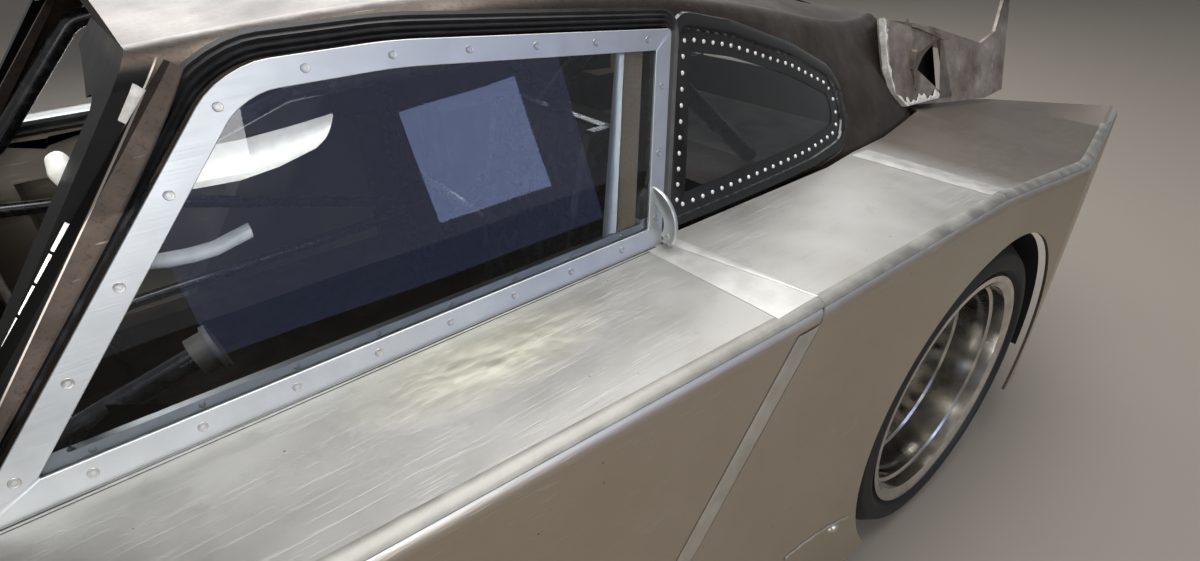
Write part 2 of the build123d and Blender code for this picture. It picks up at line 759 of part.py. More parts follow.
# Wheels: axle station, tyre radius, width, centre Y, rim radius, names
wheel_table = [
    ("front", 0.0, front_tyre_radius, front_tyre_width, front_tyre_centre_y, front_rim_radius),
    ("rear", wheelbase, rear_tyre_radius, rear_tyre_width, rear_tyre_centre_y, rear_rim_radius),
]
for place, axle_station, tyre_radius, width, centre_y, rim_radius in wheel_table:
    half = width / 2
    face_y = centre_y + half - 8
    back_y = centre_y - half + 8
    hub_y = centre_y - 40
    axle_plane = Plane(origin=(at(axle_station), 0, tyre_radius), x_dir=(0, 1, 0), z_dir=(1, 0, 0))
    axis = Axis((at(axle_station), 0, tyre_radius), (0, 1, 0))
    with BuildPart() as tyre:
        with BuildSketch(axle_plane):
            with BuildLine():
                bead = rim_radius - bead_drop
                FilletPolyline(
                    (face_y - 10, bead),
                    (face_y - 10, rim_radius + 8),
                    (centre_y + half, rim_radius + 24),
                    (centre_y + half - 6, tyre_radius - 22),
                    (centre_y + half - 34, tyre_radius),
                    (centre_y - half + 34, tyre_radius),
                    (centre_y - half + 6, tyre_radius - 22),
                    (centre_y - half, rim_radius + 24),
                    (back_y + 10, rim_radius + 8),
                    (back_y + 10, bead),
                    radius=[1, 12, 12, 14, 14, 12, 12, 1],
                )
                Line((back_y + 10, bead), (face_y - 10, bead))
            make_face()
        revolve(axis=axis)
    both_sides(tyre.part, f"tyre_{place}")
    with BuildPart() as rim:
        with BuildSketch(axle_plane):
            with BuildLine():
                Polyline(
                    (face_y, rim_radius + 6),
                    (face_y, rim_radius - 6),
                    (face_y - 7, rim_radius - bead_drop - rim_wall),
                    (face_y - 30, rim_radius - bead_drop - rim_wall - 2),
                    (face_y - 34, rim_radius - bead_drop - rim_wall - 9),
                    (face_y - 96, rim_radius - bead_drop - rim_wall - 13),
                    (face_y - 100, rim_radius - bead_drop - rim_wall - 21),
                    (hub_y + 26, rim_radius - bead_drop - rim_wall - 24),
                    (hub_y + 6, 120),
                    (hub_y + 6, stub_radius + running_gap),
                    (hub_y - hub_length / 2, stub_radius + running_gap),
                    (hub_y - hub_length / 2, hub_radius),
                    (hub_y - 8, hub_radius),
                    (hub_y - 8, 120),
                    (hub_y + 10, rim_radius - bead_drop - 2 * rim_wall - 25),
                    (back_y, rim_radius - bead_drop - rim_wall),
                    (back_y, rim_radius + 6),
                    (back_y + 9.9, rim_radius + 6),
                    (back_y + 9.9, rim_radius - bead_drop),
                    (face_y - 9.9, rim_radius - bead_drop),
                    (face_y - 9.9, rim_radius + 6),
                    close=True,
                )
            make_face()
        revolve(axis=axis)
        window_top = rim_radius - bead_drop - rim_wall - window_rim_margin
        with BuildSketch(Plane.XZ.offset(-(hub_y - 20))):
            with Locations((at(axle_station), tyre_radius)):
                with PolarLocations((window_low + window_top) / 2, rim_windows):
                    Trapezoid(window_width, window_top - window_low, 80, rotation=90)
        extrude(amount=-60, mode=Mode.SUBTRACT)
        with BuildSketch(Plane.XZ.offset(-(hub_y + 6))):
            with Locations((at(axle_station), tyre_radius)):
                RegularPolygon(nut_radius, 6)
        extrude(amount=-nut_length)
    both_sides(rim.part, f"rim_{place}")

# Front knuckles: king pin, stub axle and steering arm
with BuildPart() as front_knuckle:
    hub_y = front_tyre_centre_y - 40
    with Locations((at(0), king_pin_y, front_tyre_radius)):
        Cylinder(king_pin_radius, 300)
        Box(60, 40, 160)
    with BuildSketch(Plane.XZ.offset(-(king_pin_y + 15))):
        with Locations((at(0), front_tyre_radius)):
            Circle(stub_radius)
    extrude(amount=-(hub_y - king_pin_y - 15 + 4))
    add(block(0, 130, king_pin_y - 50, king_pin_y - 20, 290, 306))
both_sides(front_knuckle.part, "front_knuckle")

# Front suspension: lower and upper arms with eyes round the king pins, and the steering rack
with BuildPart() as front_suspension:
    for side in (1, -1):
        for z in (front_tyre_radius - 130, front_tyre_radius + 130):
            add(tube([(-120, side * 490, z), (0, side * (king_pin_y - 30), z), (120, side * 490, z)], 12))
            with Locations((at(0), side * king_pin_y, z)):
                Cylinder(30, 24)
                Cylinder(king_pin_radius + running_gap, 60, mode=Mode.SUBTRACT)
    for side in (1, -1):
        add(tube([(135, side * 477, 270), (135, side * 600, 270)], 12))
hand_in(front_suspension.part, "front_suspension")

# Rear suspension: trailing arms and stub axles
with BuildPart() as rear_suspension:
    hub_y = rear_tyre_centre_y - 40
    for side in (1, -1):
        arm_end = (wheelbase, side * 590, rear_tyre_radius)
        add(tube([(wheelbase - 181, side * 440, 300), (wheelbase - 71, side * 540, 310), arm_end], 24))
        with BuildSketch(Plane.XZ.offset(-side * 500)):
            with Locations((at(wheelbase), rear_tyre_radius)):
                Circle(stub_radius)
        extrude(amount=-side * (hub_y - 500 + 4))
hand_in(rear_suspension.part, "rear_suspension")
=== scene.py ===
import json
import math
import random

import bmesh
import bpy
from mathutils import Matrix, Vector
from mathutils.bvhtree import BVHTree


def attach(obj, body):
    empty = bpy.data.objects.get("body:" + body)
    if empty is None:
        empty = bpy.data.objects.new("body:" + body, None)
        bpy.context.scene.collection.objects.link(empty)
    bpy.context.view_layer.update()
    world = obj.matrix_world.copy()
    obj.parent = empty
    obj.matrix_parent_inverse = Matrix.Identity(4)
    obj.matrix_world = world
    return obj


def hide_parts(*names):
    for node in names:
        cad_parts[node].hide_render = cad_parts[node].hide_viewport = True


# Dressing of a wide-body racing coupe in bare metal. Metres, +X forward, +Y left, +Z up, floor at z = 0.
# A station is the distance behind the front axle, and at(station) is its X. A height is a Z.
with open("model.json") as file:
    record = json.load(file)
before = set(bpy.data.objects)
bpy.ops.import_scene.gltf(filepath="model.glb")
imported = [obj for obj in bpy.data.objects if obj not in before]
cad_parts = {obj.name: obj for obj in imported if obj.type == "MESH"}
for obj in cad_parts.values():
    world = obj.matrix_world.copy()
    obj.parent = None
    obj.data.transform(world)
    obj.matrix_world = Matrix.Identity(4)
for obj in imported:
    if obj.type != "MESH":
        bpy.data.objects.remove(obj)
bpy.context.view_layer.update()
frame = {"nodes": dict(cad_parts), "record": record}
random.seed(7)

FRONT_AXLE_X = 1.200
SHELF_Z = 0.806
SIDE_NAMES = {1: "left", -1: "right"}

# Where the search for a surface starts, from outside and from above, the least Y of the near side,
# and the steps up and down by which it passes a gap
OUTSIDE_Y = 1.5
ABOVE_Z = 2.0
NEAR_SIDE_Y = 0.3
GAP_STEPS = (0.0, -0.006, 0.006, -0.012, 0.012)

# Sharpest edge that is shaded smooth, steps and least radius of a round corner, sides and socket of a screw
SHARP_EDGE = math.radians(38)
CORNER_STEPS = 6
SMALLEST_RADIUS = 0.002
SCREW_SIDES = 18
SOCKET_DEPTH = 0.0022

# Door window frame: outer outline in (station, height), corner radii, and the plane that it leans in
FRAME_POINTS = ((0.852, 0.806), (1.167, 1.132), (1.335, 1.131), (1.738, 1.091), (1.660, 0.806))
FRAME_RADII = (0.005, 0.100, 0.600, 0.006, 0.004)
FRAME_Y = 0.697
TUMBLEHOME = 0.242
FRAME_WIDTH = 0.027
FRAME_THICKNESS = 0.004
FRAME_CHAMFER = 0.0006
FRAME_SCREW_PITCH = 0.090

# Pane: how far its edge lies inside the frame's, and its outer face behind the frame's
PANE_INSET = 0.006
PANE_DEPTH = 0.0042
PANE_THICKNESS = 0.004

# Lipped seal: its section as (grow, out), and how far its foot is cut off above the shelf
SEAL_SECTION = (
    (0.003, -0.034), (0.003, -0.008), (0.006, -0.0055), (0.0085, -0.0095), (0.0125, -0.0060),
    (0.0150, -0.0110), (0.0185, -0.0090), (0.0215, -0.0122), (0.0245, -0.0108), (0.0285, -0.0130),
    (0.0285, -0.036), (0.003, -0.034),
)
SEAL_LIFT = 0.009

# Pillar's flange ahead of the frame: the gap between them, and its width
FLANGE_GAP = 0.0092
FLANGE_WIDTH = 0.0290

# Run channel and its felt: front and rear stations of the head and the foot, their heights, and the depth
CHANNEL_TOPS = (1.640, 1.656)
CHANNEL_FEET = (1.560, 1.586)
FELT_TOPS = (1.657, 1.690)
FELT_FEET = (1.588, 1.622)
CHANNEL_HEAD_Z = 1.076
CHANNEL_FOOT_Z = 0.834
CHANNEL_DEPTH = 0.0130

# Folded angle behind the foot of the pane: how far it lies behind the frame's face, and how high it reaches
ANGLE_DEPTH = 0.0095
ANGLE_TOP_Z = 0.846

# Rear quarter window: outline in (station, height), corner radii, cuts of each side,
# sections of its band and moulding as (grow, out), pitch and inset of its rivets
QUARTER_POINTS = (
    (1.712, 0.823), (1.784, 1.078), (1.905, 1.050), (2.078, 0.990), (2.226, 0.922), (2.208, 0.834),
    (2.080, 0.824),
)
QUARTER_RADII = (0.010, 0.018, 0.300, 0.300, 0.052, 0.046, 0.200)
QUARTER_CUTS = 3
QUARTER_BAND = ((-0.027, 0.0005), (-0.010, 0.0009), (0.0035, 0.0009))
QUARTER_MOULDING = (
    (0.003, 0.0008), (0.005, 0.0042), (0.010, 0.0056), (0.018, 0.0054), (0.025, 0.0040), (0.028, 0.0004),
)
RIVET_PITCH = 0.0229
RIVET_INSET = 0.010

# Raked seam between door and rear fender: station and Y of its upper inner end, spread and rake, its gap,
# and the stations where the joint strips on both sides of it start and end
SEAM_STATION = 1.655
SEAM_Y = 0.684
SEAM_SPREAD = 0.171
SEAM_RAKE = 0.70
SEAM_GAP = 0.0065
JOINT_START = 1.627
JOINT_END = 1.690

# Rolled outer edge of the box bodywork: its radius, the Y of the flank, and the stations of its two ends
EDGE_ROLL = 0.022
FLANK_Y = 0.957
DOOR_EDGE_START = 0.800
FENDER_EDGE_END = 3.020

# Weld across the rear fender, from station to station, and where the sheet behind it turns brown
WELD_START = 2.186
WELD_END = 2.244
REAR_DARKENING_START = 2.245
REAR_DARKENING_END = 2.330

# Crescent pull: station, Y and height of its centre, inner and outer radius, thickness, the directions
# where it starts and ends, and those of its screws
PULL_CENTRE = (1.665, 0.674, 0.838)
PULL_RADII = (0.028, 0.052)
PULL_THICKNESS = 0.007
PULL_START = math.radians(98)
PULL_END = math.radians(-38)
PULL_SCREW_TURNS = (math.radians(88), math.radians(-22))

# Sheets inside the window's front corner, in (station, Y)
GUSSET_CORNERS = ((0.968, 0.558), (1.022, 0.603), (1.086, 0.650), (1.076, 0.663), (0.983, 0.652))
CORNER_PANEL_CORNERS = ((0.972, 0.565), (1.000, 0.655), (0.905, 0.676), (0.880, 0.668))

# Glue strips on the windscreen pillar: (station, height) of their ends, length of a piece, width
GLUE_STRIPS = (((0.918, 0.912), (1.018, 1.022)), ((1.082, 1.092), (1.106, 1.122)))
GLUE_LENGTH = 0.033
GLUE_WIDTH = 0.016

# Black sheet of painted shade inside the rear arch: the wheel's station and height, the sheet's radius, its
# inner and outer Y, the direction where it starts, its sweep, and its sheet
REAR_AXLE_STATION = 2.276
REAR_AXLE_Z = 0.332
ARCH_SHADE_RADIUS = 0.3585
ARCH_SHADE_SPAN = (0.620, 0.944)
ARCH_SHADE_START = math.radians(-8)
ARCH_SHADE_SWEEP = math.radians(196)
ARCH_SHADE_SHEET = 0.0015

# Tail cheek in (station, height): its front edge and the slot's curved edge, both from the foot up, the strip
# behind the slot, the duct's back, a black sheet of painted shade, and the screws
CHEEK_FRONT = ((2.561, 0.806), (2.515, 0.842), (2.495, 0.900), (2.496, 0.955), (2.499, 1.001))
CHEEK_SLOT = ((2.712, 0.797), (2.670, 0.825), (2.667, 0.863), (2.698, 0.900), (2.745, 0.930))
CHEEK_STRIP = ((2.714, 0.796), (2.778, 0.788), (2.762, 0.870), (2.752, 0.932), (2.743, 0.928))
DUCT_CORNERS = ((2.640, 0.790), (2.800, 0.780), (2.800, 0.945), (2.640, 0.945))
CHEEK_SCREWS = ((2.512, 0.985), (2.515, 0.972))

# Plane that the cheek leans in: its Y at a level, and its lean; how far the sheet stands out, and how far in
# the painted shade at the duct's back lies
CHEEK_Y = 0.603
CHEEK_LEVEL = 0.740
CHEEK_LEAN = 0.325
CHEEK_OUT = 0.0025
CHEEK_SHEET = 0.0018
DUCT_DEPTH = 0.045

# Loose items inside the left window, in (station, height): the white panel's two edges, the pale tube's run
PANEL_FOOT = ((1.081, 0.991), (1.128, 0.982), (1.175, 0.979), (1.220, 0.984), (1.268, 0.996))
PANEL_HEAD = ((1.112, 1.027), (1.150, 1.024), (1.188, 1.023), (1.240, 1.026), (1.297, 1.031))
PANEL_Y = 0.480
TUBE_RUN = ((1.012, 0.936), (1.045, 0.922), (1.072, 0.915), (1.098, 0.912), (1.123, 0.912), (1.165, 0.922))
TUBE_Y = 0.500
TUBE_RADIUS = 0.009

# Mirror: station, Y and height of its centre, its turn, its size, and the two ends of its stem
MIRROR_CENTRE = (1.026, 0.512, 1.028)
MIRROR_TURN = 0.35
MIRROR_SIZE = (0.020, 0.062, 0.050)
STEM_ENDS = ((1.030, 0.530, 1.026), (1.080, 0.555, 1.018))

# Gasket lines at the foot of the window frame, as (Y, width), and knobs of weld, as (station, height, radius)
GASKET_LINES = ((0.6995, 0.0026), (0.7050, 0.0012))
WELD_KNOBS = ((1.851, 0.262, 0.010), (1.838, 0.268, 0.006), (1.862, 0.258, 0.005))

# Camera at the photograph's place, worked out for an image of 1200 x 561
CAMERA_PLACE = (0.149, 1.3151, 1.2603)
CAMERA_RIGHT = Vector((-0.7734, 0.6333, -0.0266))
CAMERA_DOWN = Vector((0.3429, 0.3827, -0.8579))
CAMERA_AHEAD = Vector((-0.5331, -0.6726, -0.5132))
FOCAL_PIXELS = 653.4
PHOTO_WIDTH = 1200
SENSOR_MM = 36.0

# Lamps: name, place, target, size, watts, colour, and whether metal and glass mirror the lamp itself
LAMPS = (
    ("lamp_over", (-0.8, 0.6, 4.6), (-0.4, 0, 0.8), (4.5, 2.4), 175, "#FFFFFF", True),
    ("lamp_far_side", (-1.6, -4.2, 3.4), (-0.4, 0, 0.9), (5.0, 2.0), 170, "#FFFFFF", True),
    ("lamp_shelf", (-3.6, -4.4, 4.9), (-0.6, 0.4, 0.8), (9.0, 3.0), 135, "#FFFFFF", True),
    ("lamp_near_side", (1.0, 5.0, 2.6), (-0.4, 0.5, 0.6), (4.0, 1.6), 92, "#FFFFFF", True),
    ("lamp_window", (-1.90, 4.1, 1.36), (-0.2, 0.7, 1.0), (0.82, 0.78), 5.5, "#A9BCF2", True),
    ("lamp_window_glow", (-1.3, 4.3, 1.6), (-0.2, 0.7, 1.0), (2.8, 2.0), 11, "#8C9CD8", True),
    ("lamp_cabin", (0.15, 0.0, 1.13), (0.10, 0.0, 0.5), (0.9, 0.5), 3.0, "#FFFFFF", False),
    ("lamp_inside_pane", (-0.10, 0.64, 0.94), (-0.05, 0.0, 0.80), (0.75, 0.18), 2.4, "#FFFFFF", False),
)
FLOOR_REACH = 60


def at(station):
    """X of a station."""
    return FRONT_AXLE_X - station


def linear(hex_code):
    """Linear colour of an sRGB hex value."""
    parts = [int(hex_code[i:i + 2], 16) / 255 for i in (1, 3, 5)]
    return tuple(c / 12.92 if c <= 0.04045 else ((c + 0.055) / 1.055) ** 2.4 for c in parts) + (1.0,)


def put_in_scene(name, data):
    """Object that holds the data, in the scene."""
    made = bpy.data.objects.new(name, data)
    bpy.context.scene.collection.objects.link(made)
    return made


def add_node(tree, kind, settings=None, **inputs):
    """Adds a shader node with its settings, and with input values or links by socket name or number."""
    made = tree.nodes.new(kind)
    for name, value in (settings or {}).items():
        setattr(made, name, value)
    for name, value in inputs.items():
        socket = made.inputs[int(name[1:])] if name[1:].isdigit() else made.inputs[name.replace("_", " ")]
        if isinstance(value, bpy.types.NodeSocket):
            tree.links.new(value, socket)
        else:
            socket.default_value = value
    return made


class Finish:
    """Shader of one material. Its methods add nodes and give their outputs."""

    def __init__(self, name):
        self.material = bpy.data.materials.new(name)
        self.material.use_nodes = True
        self.tree = self.material.node_tree
        self.tree.nodes.clear()
        coordinates = self.add("ShaderNodeTexCoord").outputs
        self.spot = coordinates["Object"]
        self.normal = coordinates["Normal"]

    def add(self, kind, settings=None, **inputs):
        """Adds any shader node and gives the node itself."""
        return add_node(self.tree, kind, settings, **inputs)

    def noise(self, scale, detail, roughness=0.5, place=None):
        """Clouds, scale of them to a metre."""
        place = self.spot if place is None else place
        return self.add("ShaderNodeTexNoise", Vector=place, Scale=scale, Detail=detail,
                        Roughness=roughness).outputs[0]

    def drawn(self, scales, detail, turn=(0, 0, 0), roughness=0.5):
        """Clouds drawn out into lines, with a scale for each axis after a turn."""
        place = self.add("ShaderNodeMapping", Vector=self.spot, Rotation=turn, Scale=scales)
        return self.noise(1.0, detail, roughness, place.outputs[0])

    def ramp(self, value, *stops):
        """Colour or grey of a value between stops of (value, colour or grey)."""
        made = self.add("ShaderNodeValToRGB", Fac=value)
        elements = made.color_ramp.elements
        while len(elements) < len(stops):
            elements.new(0.5)
        for element, (place, colour) in zip(elements, stops):
            element.position = place
            element.color = linear(colour) if isinstance(colour, str) else (colour, colour, colour, 1)
        return made.outputs[0]

    def blend(self, mask, colour, hex_code):
        """Colour, and where the mask is 1 another one."""
        return self.add("ShaderNodeMix", {"data_type": "RGBA"}, _0=mask, _6=colour,
                        _7=linear(hex_code)).outputs[2]

    def maths(self, operation, *values):
        """Number worked out of one to three others."""
        inputs = {f"_{index}": value for index, value in enumerate(values)}
        return self.add("ShaderNodeMath", {"operation": operation}, **inputs).outputs[0]

    def vector(self, operation, *values):
        """Vector, or number where the operation gives one, worked out of one or two vectors."""
        inputs = {f"_{index}": value for index, value in enumerate(values)}
        made = self.add("ShaderNodeVectorMath", {"operation": operation}, **inputs)
        return made.outputs["Value" if operation in ("LENGTH", "DOT_PRODUCT") else 0]

    def parts(self, vector):
        """X, Y and Z of a vector."""
        return tuple(self.add("ShaderNodeSeparateXYZ", Vector=vector).outputs)

    def span(self, value, low, high, start=0.0, end=1.0):
        """Number that goes from low to high while the value goes from start to end."""
        return self.add("ShaderNodeMapRange", Value=value, From_Min=start, From_Max=end, To_Min=low,
                        To_Max=high).outputs[0]

    def bump(self, height, strength, distance, over=None, sunk=False):
        """Relief of a height, over another relief where one is given."""
        under = {"Normal": over} if over else {}
        return self.add("ShaderNodeBump", {"invert": sunk}, Height=height, Strength=strength,
                        Distance=distance, **under).outputs[0]

    def done(self, colour, rough, metallic=0.0, **more):
        """Adds the surface, joins it to the output and gives the material."""
        shader = self.add("ShaderNodeBsdfPrincipled", Base_Color=colour, Roughness=rough, Metallic=metallic,
                          **more)
        self.add("ShaderNodeOutputMaterial", Surface=shader.outputs[0])
        return self.material


def make_camera():
    """Camera with the photograph's view."""
    data = bpy.data.cameras.new("camera")
    data.sensor_width = SENSOR_MM
    data.lens = FOCAL_PIXELS / PHOTO_WIDTH * SENSOR_MM
    data.clip_start = 0.02
    data.clip_end = 200
    camera = put_in_scene("camera", data)
    turn = Matrix((CAMERA_RIGHT, -CAMERA_DOWN, -CAMERA_AHEAD)).transposed().normalized()
    camera.matrix_world = Matrix.Translation(CAMERA_PLACE) @ turn.to_4x4()
    bpy.context.scene.camera = camera


def make_world():
    """Even soft light, with a pale backdrop where the camera sees it."""
    world = bpy.data.worlds.new("studio")
    bpy.context.scene.world = world
    world.use_nodes = True
    tree = world.node_tree
    tree.nodes.clear()
    ray = add_node(tree, "ShaderNodeLightPath").outputs
    soft = add_node(tree, "ShaderNodeBackground", Color=linear("#C9CBCE"), Strength=0.42)
    pale = add_node(tree, "ShaderNodeBackground", Color=linear("#E4E3E0"), Strength=1.0)
    mixed = add_node(tree, "ShaderNodeMixShader", Fac=ray["Is Camera Ray"], _1=soft.outputs[0],
                     _2=pale.outputs[0])
    add_node(tree, "ShaderNodeOutputWorld", Surface=mixed.outputs[0])


def make_lamps():
    """Soft rectangular lamps, each turned to its target."""
    for name, place, target, size, watts, colour, mirrored in LAMPS:
        data = bpy.data.lights.new(name, "AREA")
        data.shape = "RECTANGLE"
        data.size, data.size_y = size
        data.energy = watts
        data.color = linear(colour)[:3]
        lamp = put_in_scene(name, data)
        lamp.location = place
        lamp.rotation_euler = (Vector(target) - Vector(place)).to_track_quat("-Z", "Y").to_euler()
        if not mirrored:
            lamp.visible_camera = lamp.visible_transmission = lamp.visible_glossy = False


def make_floor():
    """Plain floor."""
    paint = Finish("pale_floor")
    mesh = bpy.data.meshes.new("floor")
    shape = bmesh.new()
    bmesh.ops.create_grid(shape, x_segments=1, y_segments=1, size=FLOOR_REACH)
    shape.to_mesh(mesh)
    shape.free()
    mesh.materials.append(paint.done(linear("#8D857B"), 0.7))
    floor = put_in_scene("floor", mesh)


make_camera()
make_world()
make_lamps()
make_floor()


def sheet_aluminium():
    """Rolled aluminium sheet, worked by hand and sanded: pale, with blotches, scratches and pits."""
    sheet = Finish("sanded_sheet_aluminium")
    blotch = sheet.noise(5.5, 4.0, 0.6)
    stain = sheet.ramp(sheet.noise(17.0, 7.0, 0.68), (0.58, 0.0), (0.72, 0.30))
    tone = sheet.ramp(blotch, (0.30, "#B2AFA9"), (0.52, "#BDBBB6"), (0.74, "#C6C4C0"))
    tone = sheet.blend(stain, tone, "#8B877F")

    # Sheet behind the rear weld: browner and darker towards the rear
    x, _, _ = sheet.parts(sheet.spot)
    aft = sheet.span(x, 0.0, 0.75, at(REAR_DARKENING_START), at(REAR_DARKENING_END))
    tone = sheet.blend(aft, tone, "#837568")

    # Rolled edge paler where the face looks both up and sideways: filed metal, with a painted highlight along
    # the roll. Flanks browner where the face looks sideways: a painted reflection of the floor
    _, across, up = sheet.parts(sheet.normal)
    sideways = sheet.maths("ABSOLUTE", across)
    edge = sheet.ramp(sheet.maths("MULTIPLY", sideways, up), (0.20, 0.0), (0.40, 0.8))
    tone = sheet.blend(edge, tone, "#DAD9D5")
    # Painted reflection of the floor: the flanks tinted browner
    flank = sheet.ramp(sheet.maths("MULTIPLY", sideways, sideways), (0.60, 0.0), (0.78, 0.82))
    tone = sheet.blend(flank, tone, "#BDB19D")

    # Pits, 2 mm across, in some of the 20 mm cells
    cells = sheet.add("ShaderNodeTexVoronoi", Vector=sheet.spot, Scale=48.0).outputs
    chance = sheet.add("ShaderNodeSeparateColor", Color=cells["Color"]).outputs[0]
    pits = sheet.maths("MULTIPLY", sheet.maths("LESS_THAN", cells["Distance"], 0.055),
                       sheet.maths("LESS_THAN", chance, 0.16))
    tone = sheet.blend(pits, tone, "#6E6A63")

    # Grain of the rolling mill, 3 mm lines along the car, and sanding scratches, 70 mm long, two ways
    grain = sheet.drawn((5, 330, 330), 3.0)
    cuts = [sheet.ramp(sheet.drawn((14, 520, 300), 1.0, (0, 0.2, turn)), (0.66, 0.0), (0.72, 1.0))
            for turn in (0.45, -0.7)]
    scratches = sheet.maths("MAXIMUM", *cuts)
    rough = sheet.maths("MULTIPLY_ADD", grain, 0.12, sheet.span(blotch, 0.34, 0.40, 0.3, 0.7))
    rough = sheet.maths("MULTIPLY_ADD", scratches, 0.10, rough)

    # Planishing dents, 30 mm across, in one stretch of each door's shelf, over low waves 140 mm long. The
    # same stretch is painted paler: a painted sheen of reflected light
    dent_and_sheen_stretches = []
    for y in (0.76, -0.76):
        away = sheet.vector("SUBTRACT", sheet.spot, (at(1.32), y, SHELF_Z))
        away = sheet.vector("LENGTH", sheet.vector("MULTIPLY", away, (5.5, 12.0, 20.0)))
        dent_and_sheen_stretches.append(sheet.span(away, 1.0, 0.0, 0.3, 1.0))
    dents_and_painted_sheen = sheet.maths("MAXIMUM", *dent_and_sheen_stretches)
    # Painted sheen: the dented stretch painted paler, as a pool of reflected light
    tone = sheet.blend(dents_and_painted_sheen, tone, "#DDDAC9")
    dents = sheet.maths("MULTIPLY", sheet.noise(34.0, 1.5), dents_and_painted_sheen)
    relief = sheet.bump(sheet.noise(7.0, 2.0), 0.22, 0.010)
    relief = sheet.bump(dents, 0.34, 0.006, relief)
    relief = sheet.bump(grain, 0.10, 0.0006, relief)
    relief = sheet.bump(scratches, 0.25, 0.0004, relief, sunk=True)
    return sheet.done(tone, rough, 1.0, Normal=relief)


def satin_aluminium():
    """Flat aluminium bar, finely linished: even, cool grey, with faint long lines."""
    bar = Finish("satin_aluminium_bar")
    tone = bar.ramp(bar.noise(22.0, 5.0), (0.35, "#C2C5C5"), (0.65, "#CCCFCF"))
    lines = bar.drawn((16, 700, 700), 2.0, (0, 0.1, 0))
    return bar.done(tone, bar.span(lines, 0.36, 0.52), 1.0, Normal=bar.bump(lines, 0.12, 0.0004))


# Windscreen opening's edge: the way to it in X and Z, how far it lies, and the height where it ends
OPENING_AHEAD = (0.7546, 0, 0.6562)
OPENING_EDGE = 0.8060
OPENING_TOP_Z = 1.132


def bare_steel():
    """Bare pressed steel with a brown bloom: dark bronze to grey, speckled and scratched bright."""
    steel = Finish("browned_bare_steel")
    bloom = steel.noise(6.0, 6.0, 0.62)
    speckle = steel.noise(210.0, 3.0, 0.8)
    tone = steel.ramp(bloom, (0.30, "#332C27"), (0.48, "#443B35"), (0.62, "#564D45"), (0.78, "#6C635B"))
    tone = steel.blend(steel.ramp(speckle, (0.54, 0.0), (0.68, 0.55)), tone, "#211B18")
    scratch = steel.ramp(steel.drawn((18, 420, 260), 1.0, (0.3, 0.5, 0.5)), (0.74, 0.0), (0.80, 0.35))
    tone = steel.blend(scratch, tone, "#8F867C")

    # Return flange of the windscreen's opening: black ahead of its edge, a painted shade of the dark cabin
    # behind, with a thin bright line along the edge, a painted highlight
    line = steel.maths("SUBTRACT", steel.vector("DOT_PRODUCT", steel.spot, OPENING_AHEAD), OPENING_EDGE)
    below = steel.span(steel.parts(steel.spot)[2], 1.0, 0.0, OPENING_TOP_Z, OPENING_TOP_Z + 0.010)
    flange_painted_shade = steel.maths("MULTIPLY", steel.span(line, 0.0, 1.0, 0.0, 0.001), below)
    edge_painted_highlight = steel.maths("MULTIPLY", steel.maths("COMPARE", line, -0.0006, 0.0007), below)
    tone = steel.blend(flange_painted_shade, tone, "#0F0E0D")
    tone = steel.blend(edge_painted_highlight, tone, "#A8A29A")
    rough = steel.span(bloom, 0.48, 0.36, 0.3, 0.7)
    return steel.done(tone, rough, 0.85, Normal=steel.bump(speckle, 0.18, 0.0006))


def polycarbonate():
    """Clear polycarbonate sheet: faintly smoky, glossy, with hairline scratches."""
    clear = Finish("clear_polycarbonate")
    scratch = clear.ramp(clear.drawn((20, 300, 900), 1.0, (0.1, 0.6, 0.2)), (0.73, 0.0), (0.78, 1.0))
    ripple = clear.bump(clear.noise(4.0, 1.0), 0.05, 0.01)
    return clear.done(linear("#D6DADE"), clear.span(scratch, 0.0, 0.16), IOR=1.49, Transmission_Weight=1.0,
                      Normal=ripple)


def black_rubber():
    """Extruded sealing rubber: near black with a soft sheen."""
    rubber = Finish("sealing_rubber")
    dust = rubber.noise(60.0, 5.0)
    return rubber.done(rubber.ramp(dust, (0.45, "#0E0E0F"), (0.75, "#1D1D1F")), rubber.span(dust, 0.28, 0.5))


def tyre_rubber():
    """Vulcanised tyre rubber: matt black and a little dusty."""
    rubber = Finish("tyre_rubber")
    dust = rubber.noise(30.0, 8.0, 0.7)
    return rubber.done(rubber.ramp(dust, (0.40, "#060606"), (0.72, "#0F0E0D")), 0.62,
                       Normal=rubber.bump(dust, 0.2, 0.0008))


def polished_aluminium():
    """Spun and polished aluminium rim: bright, with haze and light scuffs."""
    rim = Finish("polished_spun_aluminium")
    haze = rim.noise(26.0, 7.0, 0.65)
    tone = rim.ramp(haze, (0.40, "#D8D6D1"), (0.72, "#B4B0A8"))
    return rim.done(tone, rim.span(haze, 0.07, 0.26, 0.35, 0.75), 1.0, Normal=rim.bump(haze, 0.06, 0.001))


def black_enamel():
    """Brushed-on gloss black enamel on steel tube: deep black with a clear gloss and dust."""
    enamel = Finish("gloss_black_enamel")
    dust = enamel.noise(45.0, 6.0)
    return enamel.done(enamel.ramp(dust, (0.50, "#0B0B0C"), (0.80, "#26262A")), enamel.span(dust, 0.14, 0.4),
                       Coat_Weight=0.5, Coat_Roughness=0.08)


def cast_alloy():
    """Sand-cast aluminium: dull grey, grainy."""
    alloy = Finish("sand_cast_alloy")
    oily = alloy.ramp(alloy.noise(9.0, 5.0), (0.40, "#7C7A76"), (0.70, "#4A4640"))
    return alloy.done(oily, 0.55, 0.8, Normal=alloy.bump(alloy.noise(160.0, 4.0), 0.35, 0.001))


